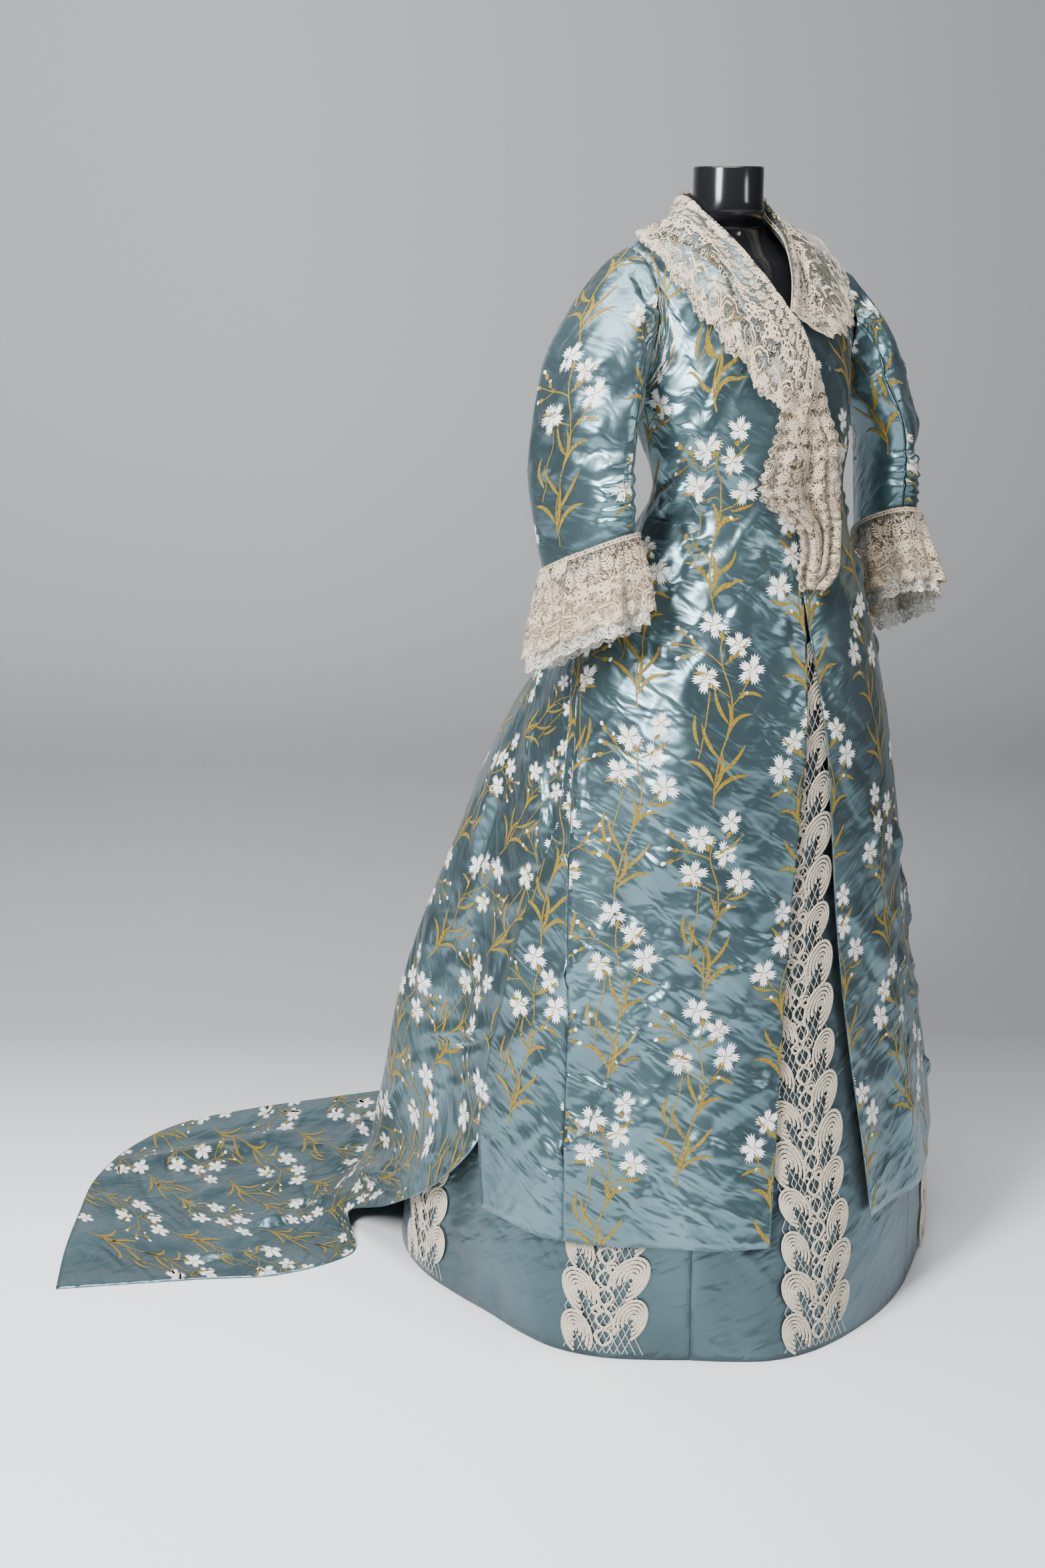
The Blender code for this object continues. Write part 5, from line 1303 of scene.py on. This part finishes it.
# %% Spray patterns
TALL_SPRAY = {
    "stems": (
        (10, -122, 14, -70, -2, -28, 2.2), (-2, -28, -14, 10, 2, 48, 2.0), (2, 48, 12, 74, 6, 96, 1.8),
        (-5, 8, -18, 22, -26, 40, 1.6), (-3, 22, 12, 30, 22, 36, 1.6), (4, 58, 24, 76, 44, 82, 1.6),
        (34, 79, 44, 92, 52, 96, 1.3), (30, 80, 40, 74, 50, 70, 1.3), (44, 82, 52, 84, 60, 85, 1.3),
        (34, -60, 26, -20, 22, 26, 1.6),
    ),
    "leaves": (
        (11, -108, -4, -74, -34, -80, 5.5), (11, -100, 0, -78, 4, -50, 5.5),
        (11, -94, 26, -62, 50, -64, 5.5), (0, -34, -8, 4, -34, -2, 5), (0, -28, -12, -6, 0, 18, 5),
        (6, -60, 26, -44, 32, -14, 5), (-4, -14, 14, 4, 16, 30, 5), (12, -84, -14, -64, -26, -38, 5),
        (6, 62, -16, 74, -30, 96, 4.5), (12, 44, 30, 52, 44, 48, 4.5), (-14, 26, -34, 28, -46, 18, 4.5),
        (34, -44, 44, -26, 40, -4, 5),
    ),
    "heads": (
        (-32, 54, 20, 0, 1.0), (27, 42, 20, 30, 1.0), (-14, 88, 19, 60, 0.9), (16, 112, 20, 15, 1.0),
    ),
    "calyxes": ((-24, 36, 105, 0.8), (16, 30, 40, 0.8), (-2, 66, 110, 0.7), (6, 92, 85, 0.8)),
    "buds": (
        (52, 96, 45, 0.95), (50, 70, -10, 0.95), (60, 85, 10, 0.95), (40, 84, 60, 0.8),
        (-14, 20, 150, 0.8),
    ),
}
LEANING_SPRAY = {
    "stems": (
        (-6, -124, -16, -76, 0, -30, 2.2), (0, -30, 16, 10, 0, 46, 2.0), (0, 46, -10, 70, -2, 92, 1.8),
        (4, 0, 20, 12, 30, 22, 1.6), (4, 18, -14, 26, -22, 34, 1.6), (-4, 62, -26, 72, -46, 76, 1.6),
        (-34, 75, -44, 86, -52, 92, 1.3), (-30, 74, -42, 66, -52, 64, 1.3),
        (-30, -70, -22, -30, -18, 24, 1.6),
    ),
    "leaves": (
        (-8, -110, 8, -76, 36, -82, 5.5), (-9, -102, 4, -80, -6, -50, 5.5),
        (-9, -94, -20, -62, -46, -64, 5.5), (0, -34, 8, 4, 34, -2, 5), (0, -30, 10, -8, -4, 16, 5),
        (-6, -62, -26, -46, -32, -16, 5), (-10, -84, 16, -66, 26, -40, 5),
        (-2, 66, 18, 76, 34, 94, 4.5), (-12, 30, -32, 34, -46, 28, 4.5), (18, 10, 36, 8, 50, 16, 4.5),
        (-30, -52, -42, -34, -38, -8, 5),
    ),
    "heads": (
        (36, 32, 20, 10, 1.0), (-26, 44, 20, 40, 1.0), (14, 70, 19, 75, 0.92), (-20, 90, 20, 25, 1.0),
        (20, 112, 18, 50, 0.85),
    ),
    "calyxes": (
        (28, 20, 60, 0.8), (-20, 32, 120, 0.8), (12, 50, 80, 0.7), (-8, 72, 110, 0.7),
        (14, 92, 50, 0.7),
    ),
    "buds": (
        (-52, 92, 130, 0.95), (-52, 64, 190, 0.95), (-46, 76, 165, 0.95), (-38, 78, 110, 0.8),
        (10, -6, 30, 0.8),
    ),
}


def draw_spray(bm, parts):
    for x0, y0, x1, y1, x2, y2, width in parts["stems"]:
        strip(bm, (x0, y0), (x1, y1), (x2, y2), width, 10, GOLD, 0.0)
    for x0, y0, x1, y1, x2, y2, width in parts["leaves"]:
        strip(bm, (x0, y0), (x1, y1), (x2, y2), width, 8, GOLD, across=2)
    for x, y, turn, size in parts["calyxes"]:
        foot, way = Vector((x, y)), Vector(turned(turn)) * 15 * size
        strip(bm, foot, foot + way / 2, foot + way, 8 * size, 4, GOLD)
    for place in parts["heads"]:
        head(bm, *place)
    for place in parts["buds"]:
        bud(bm, *place)


SPRAYS = [drawn("tall spray", draw_spray, TALL_SPRAY), drawn("leaning spray", draw_spray, LEANING_SPRAY)]

# %% [markdown]
# The sprays stand in columns that run with the warp, from the hem up. Neighbouring columns are half
# a repeat apart. Each panel gives the place of its first column and first spray. The backs measure
# theirs from the top, because their cloth spreads out below.

# %% Lay the brocade panels and weave the sprays
SIDES = {"right": -1, "left": 1}
COLUMN_STEP, REPEAT_STEP = 0.112, 0.252
SPRAY_LIFT = 0.00035
# First column, number of columns, direction of the columns and first spray's height
BROCADE_LAYOUT = {
    "front": (0.000, 6, 1, 0.080),
    "side": (0.000, 3, 1, 0.130),
    "back": (0.050, 9, -1, -0.414),
    "sleeve_upper": (0.000, 3, 1, 0.030),
    "sleeve_under": (0.050, 2, 1, 0.090),
}


def brocade_layout(part, height):
    first, columns, way, low = BROCADE_LAYOUT[part]
    middle = 0 if part in ("front", "back") else columns // 2
    layout = []
    for column in range(columns):
        place = first + (column - middle) * COLUMN_STEP
        for row in range(math.ceil(height / REPEAT_STEP) + 1):
            up = low + row * REPEAT_STEP + (column % 2) * REPEAT_STEP / 2
            flip = 1 if (row + column) % 2 else -1
            lean = 4 * math.sin(2.3 * row + 1.7 * column)
            layout.append((SPRAYS[(row + column // 2) % 2], place * way, up, lean, 1.0, flip))
    return layout


for label, side in SIDES.items():
    for part, surface, more in (
        ("front", front_surface(side), dict(start=0.0)),
        ("side", side_surface(side), {}),
        ("back", back_surface(side), dict(start=1.0, from_top=True)),
        ("sleeve_upper", sleeve_surface(side, 0, 180, 10), dict(cell=FINE_CELL)),
        ("sleeve_under", sleeve_surface(side, -180, 0, 6), dict(cell=0.006)),
    ):
        name = f"{label}_{part}"
        creases = CREASES if side < 0 else OTHER_CREASES
        lay_cloth(name, *surface, -side, SATIN_WALL, creases=creases, **more)
        satin_piece = add_cloth(f"{name}_satin", panels[name], SATIN_WALL, BROCADE)
        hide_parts(name)
        layout = brocade_layout(part, cut_size(panels[name])[1])
        silks = [WHITE_SILK, GOLD_SILK]
        woven = drop_on(f"{name}_sprays", panels[name], layout, silks, "brocade", SPRAY_LIFT)
        rests_on = f"{label}_front" if "sleeve" in part else "form_torso"

# %% [markdown]
# The underskirt is plain: a smooth satin that stands a little off the form, with no motifs, so the
# tape lace on it reads clearly. It is cut in four breadths, and the same helper makes each.

# %% Underskirt
for part in SKIRT_PANELS:
    name = f"underskirt_{part}"
    lay_cloth(name, *skirt_surface(part), -1, SKIRT_WALL, 0.010 if part == "front" else 0.014)
    piece = add_cloth(f"{name}_satin", panels[name], SKIRT_WALL, UNDERSKIRT_SATIN)
    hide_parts(name)

# %% [markdown]
# The lace at the neck, front and cuffs is a fine net with thicker figures on it. The net's holes
# are too small and too many to cut, so its shader lets light through between threads, and the
# figures are real shapes: scrolls along the scalloped edge, roses and sprigs inside it.

# %% Net and thread
def net(name, colour, cell, clear):
    """Net with clear gaps between its threads, and close filling that grows towards the edge. Clear
    is the height above the edge where the filling is down to scattered patches."""
    made = finish(name, colour, 0.85, sheen=0.2, specular=0.2)
    tree = made.node_tree
    flat = coordinates(tree)[1]
    holes = node(tree, "TexVoronoi", dict(Scale=1 / cell, Vector=flat), feature="DISTANCE_TO_EDGE")
    threads = ramp(tree, holes["Distance"], (0.03, (1, 1, 1)), (0.055, (0, 0, 0)))
    depth = ranged(tree, split(tree, flat)["Y"], 0.0, clear, 0.10, -0.16)
    filling = calculated(tree, "ADD", noise(tree, flat, 230, 3, 0.65, 0.8), depth)
    cloud = ramp(tree, filling, (0.53, (0, 0, 0)), (0.57, (1, 1, 1)))
    return feed(
        made,
        Alpha=blended(tree, "LIGHTEN", threads, cloud),
        Normal=relief(tree, filling, 1.0, 0.0012),
        Base_Color=shades(tree, filling, colour, 0.54, 0.62, 0.68, 1.1),
    )


def thread(name, colour, scale, ladder=None):
    """Close stitches of a lace figure. A ladder is a pattern of holes, painted dark as shade, that goes over
    them.
    """
    made = finish(name, colour, 0.80, sheen=0.25, specular=0.2)
    tree = made.node_tree
    place, flat = coordinates(tree)
    stitches = noise(tree, place, scale, 2, 0.6)
    colours = shades(tree, stitches, colour, 0.35, 0.72, 0.62, 1.12)
    if ladder:
        colours = blended(tree, "MULTIPLY", colours, ladder(tree, flat))
    return feed(made, Base_Color=colours, Normal=relief(tree, stitches, 1.0, 0.0008))


COLLAR_NET = net("collar net", (0.480, 0.400, 0.300), 0.0030, 0.075)
CUFF_NET = net("cuff net", (0.400, 0.300, 0.205), 0.0026, 0.280)
UNDER_NET = net("under frill net", (0.600, 0.560, 0.480), 0.0022, 0.500)
JABOT_NET = net("jabot net", (0.430, 0.335, 0.240), 0.0026, 1.000)
LACE_THREAD = thread("lace thread", (0.660, 0.540, 0.385), 900)


# %% Lace figures
def loop(bm, x, y, wide, high, start, end, width, segments=16, rise=0.0, across=1, base=0.0):
    """A strip bent round part of an oval, in millimetres and degrees."""
    verts = new_strip(bm, segments, across, math.radians(end - start) * (wide + high) / 2000, WHITE)
    for vertex in verts:
        cosine, sine = turned(mix(start, end, vertex.co.x + 0.5))
        side = 2 * vertex.co.y
        px, py = (wide - 0.5 * width * side) * cosine, (high - 0.5 * width * side) * sine
        vertex.co = ((x + px) / 1000, (y + py) / 1000, (base + rise * (1 - side * side)) / 1000)


def ray(bm, turn, inner, outer, bow, width):
    """A finger of lace that points out from the middle, between two ovals."""
    cosine, sine = turned(turn)
    foot, tip = ((wide * cosine, high * sine) for wide, high in (inner, outer))
    strip(bm, foot, ((foot[0] + tip[0]) / 2 + bow[0], (foot[1] + tip[1]) / 2 + bow[1]), tip, width, 4)


def draw_scroll(bm):
    """A curled frond with a fan of fingers, for the scalloped edge."""
    loop(bm, 0, 0, 17, 12, 200, 500, 2.2, 18)
    loop(bm, 3, 1, 9, 6, 150, 470, 1.8, 12)
    for k in range(9):
        ray(bm, 195 + 19 * k, (9, 7), (22, 17), (1.5, 0), 3.4)


def draw_rose(bm):
    """A rose with five round petals and a ring round its heart."""
    for k in range(5):
        x, y = turned(72 * k)
        loop(bm, 6.5 * x, 6.5 * y, 3.6, 3.2, 0, 360, 2.4, 9)
    loop(bm, 0, 0, 2.6, 2.6, 0, 360, 1.6, 9)
    for k in range(3):
        ray(bm, 120 * k + 40, (9, 9), (18, 18), (0, 2), 4.2)


def draw_sprig(bm):
    """A small fern branch, with its leaflets in pairs."""
    strip(bm, (-1, -15), (3, 0), (-1, 13), 1.4, 6, taper=0.0)
    for y, size in ((-9, 1.0), (-4, 1.1), (1, 1.0), (6, 0.8)):
        for side in (-1, 1):
            strip(bm, (0.5, y), (side * 4 * size, y + 1), (side * 9 * size, y + 7 * size), 3.4 * size, 3)
    strip(bm, (-1, 10), (-1, 14), (-1, 18), 3.4, 3)


def draw_border(bm):
    """A short stretch of the two cords along the sewn edge."""
    for y in (-1.8, 1.8):
        strip(bm, (-10.5, y), (0, y), (10.5, y), 1.5, 4, taper=0.0, rise=0.5, across=2)
    for x in (-7.5, -2.5, 2.5, 7.5):
        strip(bm, (x, -2), (x, 0), (x, 2), 1.2, 1, taper=0.0)


BORDER, SCROLL = drawn("lace border", draw_border), drawn("lace scroll", draw_scroll)
ROSE, SPRIG = drawn("lace rose", draw_rose), drawn("lace sprig", draw_sprig)
RING = drawn("lace ring", loop, 0, 0, 2.4, 2.4, 0, 360, 1.3, 8)
BORDER_STEP, BORDER_DROP = 0.020, 0.004


def lace_layout(width, height, low=0.016):
    """Rows of figures from the edge inwards, over a width centred on 0."""
    # Figure, height over the lowest row, step along the row and scale
    rows = [
        (SCROLL, 0, 0.036, 1.0), (RING, 0.018, 0.010, 1.0), (ROSE, 0.032, 0.042, 1.0),
        (SCROLL, 0.036, 0.042, 0.7), (SPRIG, 0.058, 0.026, 0.85), (RING, 0.046, 0.013, 0.9),
        (ROSE, 0.084, 0.060, 0.8), (SPRIG, 0.082, 0.024, 0.8), (RING, 0.070, 0.016, 0.8),
        (SPRIG, 0.106, 0.022, 0.70), (RING, 0.096, 0.014, 0.8), (SPRIG, 0.126, 0.024, 0.65),
    ]
    for up in np.arange(low + 0.150, height, 0.046) - low:
        rows += [(ROSE, up, 0.046, 0.85), (SPRIG, up, 0.021, 0.75), (RING, up + 0.022, 0.014, 0.8),
                 (SPRIG, up + 0.024, 0.026, 0.75)]
    layout = [
        (BORDER, k * BORDER_STEP - width / 2, height - BORDER_DROP, 0, 1.0, 1)
        for k in range(int(width / BORDER_STEP) + 2)
    ]
    for number, (pattern, up, step, scale) in enumerate(rows):
        if low + up > height - 2 * BORDER_DROP:
            continue
        count = int(width / step) + 1
        for k in range(count):
            right = (k - (count - 1) / 2 + 0.37 * (number % 3)) * step
            turn = 0 if pattern is SCROLL else 28 * math.sin(2.1 * k + number)
            above = low + up + 0.003 * math.sin(1.7 * k + number)
            layout.append((pattern, right, above, turn, scale, 1 - 2 * (k % 2)))
    return layout


# %% [markdown]
# The collar is plain satin with the lace laid over it, out past its edge. Each is its own skin, as
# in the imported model, so the blue shows through the net near the neck and not beyond the satin.

# %% Collars
FIGURE_LIFT = 0.0004


def add_lace(name, material):
    """Make a laid panel of lace, with its figures."""
    panel = panels[name]
    net_piece = add_cloth(f"{name}_net", panel, 0, material)
    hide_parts(name)
    layout = lace_layout(*cut_size(panel))
    laid = dict(slot="lace", lift=FIGURE_LIFT, edge=0.0, fanned=True)
    figures = drop_on(f"{name}_figures", panel, layout, [LACE_THREAD], **laid)


for label, side in SIDES.items():
    name = f"{label}_collar"
    lay_cloth(name, *collar_surface(side, SATIN_PLACES), side, SATIN_WALL, 0.006)
    piece = add_cloth(f"{name}_satin", panels[name], SATIN_WALL, UNDERSKIRT_SATIN)
    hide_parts(name)
    lace = collar_surface(side, COLLAR_LACE_PLACES, SCALLOP)
    raised = SATIN_WALL + LAY_GAP + LACE_WALL
    lay_cloth(f"{name}_lace", *lace, side, raised, FINE_CELL, hem=(40, 0.035), frill=(9, 0.0016))
    add_lace(f"{name}_lace", COLLAR_NET)

# %% [markdown]
# Each cuff is two frills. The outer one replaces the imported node, and the whiter inner one hangs a
# little lower behind it, from the same surface carried on past its edge.

# %% Cuffs
UNDER_FROM, UNDER_TO, UNDER_INSET = 0.45, 1.16, -0.0035


def under_frill(surface):
    """The cuff's surface from partway down to below its edge, where it runs straight on."""
    def place(across, down):
        share = mix(UNDER_FROM, UNDER_TO, down)
        if share <= 1:
            return surface(across, share)
        edge, above = surface(across, 1.0), surface(across, 0.9)
        return edge + (edge - above) * (share - 1) * 10
    return place


for label, side in SIDES.items():
    for part, start, end in (("front", -90, 90), ("back", 90, 270)):
        name = f"{label}_cuff_{part}"
        surface, *size = cuff_surface(side, start, end)
        inner = dict(cell=FINE_CELL, hem=(14, 0.07), frill=(5, 0.0040))
        lay_cloth(f"{name}_under", under_frill(surface), *size, -side, UNDER_INSET, **inner)
        under = add_cloth(f"{name}_under_net", panels[f"{name}_under"], 0, UNDER_NET)
        lay_cloth(name, surface, *size, -side, LACE_WALL, FINE_CELL, hem=(16, 0.05), frill=(6, 0.0060))
        add_lace(name, CUFF_NET)

# %% Jabot
lay_cloth("jabot", *jabot_surface(), -1, LACE_WALL, 0.004, edges=(22, 0.12), frill=(3.4, 0.011))
add_lace("jabot", JABOT_NET)

# %% [markdown]
# The underskirt's bands are tape lace: a woven tape bent into shells and rings, held together by
# fine bars. Each tape is a strip with a raised middle, laid on the underskirt at its real width.

# %% Tape lace figures
TAPE_WIDTH = 4.5
HOLE_STEP = 0.0026


def draw_shell(bm):
    """Tapes nested round each other as close hairpins."""
    for k, reach in enumerate((3.2, 9.6, 16.0, 22.4, 28.8)):
        loop(
            bm, 0.4 * k, -1.5 * k, reach * 0.76, reach * 1.22, -62, 232, TAPE_WIDTH, 22, 1.4, 2,
            0.4 + 0.1 * k,
        )


def draw_wave(bm):
    """Two tapes that cross in a figure of eight."""
    for side in (-1, 1):
        strip(bm, (0, -30), (26 * side, -14), (0, 0), TAPE_WIDTH, 10, taper=0.0, rise=1.5, across=2)
        strip(bm, (0, 0), (-26 * side, 14), (0, 30), TAPE_WIDTH, 10, taper=0.0, rise=1.8, across=2)


def draw_bars(bm):
    """A lattice of fine bars, one repeat high."""
    for k in range(-4, 5):
        for way in (-1, 1):
            ends = (10 * k - 14 * way, -29), (10 * k, 0), (10 * k + 14 * way, 29)
            strip(bm, *ends, 1.0, 4, taper=0.0, rise=0.3)


def ladder(tree, flat):
    """The holes down the middle of a tape, between its two cords, painted dark as the shade seen through
    them.
    """
    parts = split(tree, scaled(tree, flat, (2 * math.pi / HOLE_STEP, math.pi, 1)))
    waves = (calculated(tree, "SINE", parts[axis]) for axis in "XY")
    holes = calculated(tree, "MULTIPLY", *waves)
    return ramp(tree, holes, (0.45, (1, 1, 1)), (0.75, (0.16, 0.17, 0.16)))


SHELL = drawn("tape shell", draw_shell)
TAPE_WAVE = drawn("tape wave", draw_wave)
BARS = drawn("bars", draw_bars)
TAPE_RING = drawn("tape ring", loop, 0, 0, 6.5, 6.0, 0, 360, TAPE_WIDTH * 0.85, 14, 1.5, 2, 0.5)
TAPE_THREAD = thread("tape thread", (0.720, 0.630, 0.490), 520, ladder)

# %% Lace bands
# Turn of each band's middle, its top, its panel
BANDS = {
    "centre": (-6.5, 0.950, "front"),
    "right": (-60.0, 0.240, "right"),
    "right_back": (-114.5, 0.350, "right"),
    "left": (68.7, 0.240, "left"),
    "left_back": (120.0, 0.350, "left"),
}
BAND_STEP, BAND_FOOT, BAND_WIDTH, BAND_LIFT = 0.058, 0.036, 0.130, 0.0022


def band_layout(top):
    layout = []
    for k in range(int(top / BAND_STEP)):
        up = BAND_FOOT + k * BAND_STEP
        odd = k % 2
        size = 0.88 + 0.10 * math.sin(1.9 * k)
        layout += [
            (BARS, 0.0, up, 0, 1.0, 1),
            (SHELL, -0.039 + 0.003 * odd, up, 20 + 12 * odd, size, 1),
            (SHELL, 0.039 - 0.003 * odd, up + 0.024, -24 - 10 * odd, size, -1),
            (TAPE_WAVE, 0.001, up + 0.006, 0, 0.85, 1),
            (TAPE_WAVE, 0.003, up + 0.035, 90, 0.50, 1),
            (TAPE_RING, -0.010 * (-1) ** k, up + 0.031, 0, 0.9, 1),
            (TAPE_RING, 0.013 * (-1) ** k, up + 0.004, 0, 0.75, 1),
        ]
    return layout


for label, (middle, top, part) in BANDS.items():
    start, end, columns = SKIRT_PANELS[part]
    share = (middle - start) / (end - start)
    name, skirt = f"lace_band_{label}", f"underskirt_{part}"
    layout = band_layout(top)
    tapes = drop_on(f"{name}_tapes", panels[skirt], layout, [TAPE_THREAD], "tape_lace", BAND_LIFT, share)
    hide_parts(name)

# %% [markdown]
# The dress form shows only at the neck and in the opening of the collar, but it is made whole. Its
# torso is a grid wrapped round, and its neck a profile that is spun about the axis, with the
# shallow recess that a neck cap leaves.

# %% Dress form
FORM_INSET = 0.0042
FORM_HEIGHTS = (0.9, 0.95, 1.01, 1.07, 1.11, 1.15, 1.2, 1.25, 1.285, *FORM["height"])
FORM_ROWS, FORM_SEGMENTS = 72, 96
# Below this height the torso follows the underskirt, and above it the bodice
FORM_SKIRT_TOP = 1.1


def form_point(turn, height):
    if height <= UNDERARM:
        side, rear = ("under_side", "under_back") if height < FORM_SKIRT_TOP else ("half_width", "back")
        measures = look(BODY, height, f"{side} centre_y front {rear}")
        return around(turn, oval(turn, *measures) - skirt_inset(height) - FORM_INSET, height)
    half, centre, front, rear, power = look(FORM, height)
    cosine, sine = turned(turn)
    size = (abs(sine) ** power + abs(cosine) ** power) ** (-1 / power)
    depth = front if cosine > 0 else rear
    return Vector((half * sine * size, centre - depth * cosine * size, height))


bm = bmesh.new()
bmesh.ops.create_grid(bm, x_segments=FORM_SEGMENTS, y_segments=FORM_ROWS, size=0.5)
for vertex in bm.verts:
    row = round((vertex.co.y + 0.5) * FORM_ROWS)
    height = stepped(FORM_HEIGHTS, row / FORM_ROWS * (len(FORM_HEIGHTS) - 1))
    vertex.co = form_point(360 * vertex.co.x, height)
bore_floor = NECK_TOP - NECK_BORE_DEPTH
profile = (
    (0.0475, 1.4800), (NECK_RADIUS, 1.492), (NECK_RADIUS, NECK_TOP - 0.0022),
    (NECK_RADIUS - 0.0012, NECK_TOP), (NECK_BORE + 0.0004, NECK_TOP), (NECK_BORE, NECK_TOP - 0.0015),
    (NECK_BORE, bore_floor), (0.0, bore_floor),
)
corners = [bm.verts.new((radius, 0.0, height)) for radius, height in profile]
edges = [bm.edges.new(pair) for pair in zip(corners, corners[1:])]
whole = dict(cent=(0, 0, 0), axis=(0, 0, 1), angle=2 * math.pi, steps=FORM_SEGMENTS, use_merge=True)
bmesh.ops.spin(bm, geom=corners + edges, **whole)
bmesh.ops.remove_doubles(bm, verts=bm.verts, dist=0.0008)
bmesh.ops.holes_fill(bm, edges=[edge for edge in bm.edges if edge.is_boundary], sides=0)
bmesh.ops.recalc_face_normals(bm, faces=bm.faces)
# The spin makes its faces in no fixed order, so they are sorted by their three lowest vertices
bm.verts.index_update()
ranks = len(bm.verts) ** 2, len(bm.verts), 1
bm.faces.sort(key=lambda face: np.dot(sorted(vertex.index for vertex in face.verts)[:3], ranks))
piece = add_piece("dress_form", finished(bm, "dress_form"), [FORM_BLACK])
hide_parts("form_torso")
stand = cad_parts["form_stand"].data.materials
stand.clear()
stand.append(STEEL)
print("dress form:", len(piece.data.polygons), "faces")

# %% [markdown]
# The gown stands on pale paper that curves up into a wall far behind it. The paper is painted
# greyer away from the camera and a little darker to the right, as painted shade, so the satin stands
# out, and a large soft key light from the wearer's right makes the satin's gloss. The camera stands
# where the photograph was taken from.

# %% Floor, backdrop, lights and camera
CAMERA_PLACE = (-1.7627, -2.3217, 1.496)
CAMERA_AZIMUTH, CAMERA_PITCH = -32.0, 15.1
# Painted shade on the paper: its greys behind the gown and up the wall, and its darker right side
FLOOR_WHITE, FAR_PAINTED_SHADE, WALL_PAINTED_SHADE = (0.92, 0.94, 0.98), (0.40, 0.41, 0.43), (0.60, 0.615, 0.64)
PAINTED_SHADE_FROM, PAINTED_SHADE_TO, RIGHT_PAINTED_SHADE = 0.05, 4.6, (0.62, 0.62, 0.62)
SWEEP_LENGTH, SWEEP_WIDTH, SWEEP_BEHIND = 15.0, 20.0, 5.5
SWEEP_START, SWEEP_RADIUS = 3.2, 1.4


def paper():
    """Pale floor with painted shade: greyer behind the gown and up the wall, and a little darker to the
    right.
    """
    made = finish("pale paper", FLOOR_WHITE, 0.8, specular=0.2)
    tree = made.node_tree
    turn = (0.0, 0.0, math.radians(-CAMERA_AZIMUTH))
    parts = split(tree, node(tree, "Mapping", dict(Rotation=turn, Vector=coordinates(tree)[0]))["Vector"])
    stops = (0.0, FLOOR_WHITE), (0.18, FAR_PAINTED_SHADE), (0.60, FAR_PAINTED_SHADE), (1.0, WALL_PAINTED_SHADE)
    away = ramp(tree, ranged(tree, parts["Y"], PAINTED_SHADE_FROM, PAINTED_SHADE_TO), *stops)
    across = ramp(tree, ranged(tree, parts["X"], -1.0, 3.0), (0.0, (1, 1, 1)), (1.0, RIGHT_PAINTED_SHADE))
    return feed(made, Base_Color=blended(tree, "MULTIPLY", away, across))


bm = bmesh.new()
bmesh.ops.create_grid(bm, x_segments=4, y_segments=60, size=0.5)
for vertex in bm.verts:
    floor = (vertex.co.y + 0.5) * SWEEP_LENGTH - SWEEP_BEHIND
    bend = max(0.0, floor - SWEEP_START)
    angle = min(bend / SWEEP_RADIUS, math.pi / 2)
    rise = SWEEP_RADIUS * (1 - math.cos(angle)) + max(0.0, bend - SWEEP_RADIUS * math.pi / 2)
    run = min(floor, SWEEP_START) + SWEEP_RADIUS * math.sin(angle)
    vertex.co = (vertex.co.x * SWEEP_WIDTH, run, rise)
about_z = Matrix.Rotation(math.radians(CAMERA_AZIMUTH), 3, "Z")
bmesh.ops.rotate(bm, verts=bm.verts, cent=(0, 0, 0), matrix=about_z)
sweep = put("sweep", finished(bm, "sweep"))
sweep.data.shade_smooth()
sweep.data.materials.append(paper())

# Name, place, target, size and power of each light
for name, place, target, size, power in (
    ("key", (-3.0, -1.2, 2.7), (0, 0, 0.9), (0.9, 1.5), 270),
    ("fill", (1.6, -3.4, 2.2), (0, 0, 0.8), (0.6, 1.2), 30),
    ("top", (-0.6, -0.4, 3.6), (-0.2, 0, 0), (2.4, 2.0), 150),
    ("wall", (-1.4, 2.2, 3.4), (0.0, 4.6, 1.6), (3.0, 0.8), 45),
):
    light = bpy.data.lights.new(name, "AREA")
    light.shape, light.energy = "RECTANGLE", power
    light.size, light.size_y = size
    lamp = put(name, light)
    lamp.location = place
    lamp.rotation_euler = (Vector(target) - Vector(place)).to_track_quat("-Z", "Y").to_euler()

# The room gives little light, but seen past the floor's edge it is as pale as the wall
world = bpy.data.worlds.new("studio")
bpy.context.scene.world = world
world.use_nodes = True
tree = world.node_tree
for label, value in (("Color", (0.80, 0.83, 0.88, 1.0)), ("Strength", 0.08)):
    tree.nodes["Background"].inputs[label].default_value = value
beyond = node(tree, "Background", dict(Color=(0.47, 0.49, 0.52, 1.0), Strength=1.0))["Background"]
seen = node(tree, "LightPath")["Is Camera Ray"]
joined = node(tree, "MixShader", {"Fac": seen, 1: tree.nodes["Background"].outputs["Background"], 2: beyond})
tree.links.new(joined["Shader"], tree.nodes["World Output"].inputs["Surface"])

camera = put("camera", bpy.data.cameras.new("camera"))
camera.data.lens, camera.data.sensor_fit, camera.data.sensor_height = 50.0, "VERTICAL", 36.0
camera.location = CAMERA_PLACE
camera.rotation_euler = (math.radians(90 - CAMERA_PITCH), 0.0, math.radians(CAMERA_AZIMUTH))
bpy.context.scene.camera = camera
print("camera", CAMERA_PLACE, "lights", len(bpy.data.lights))
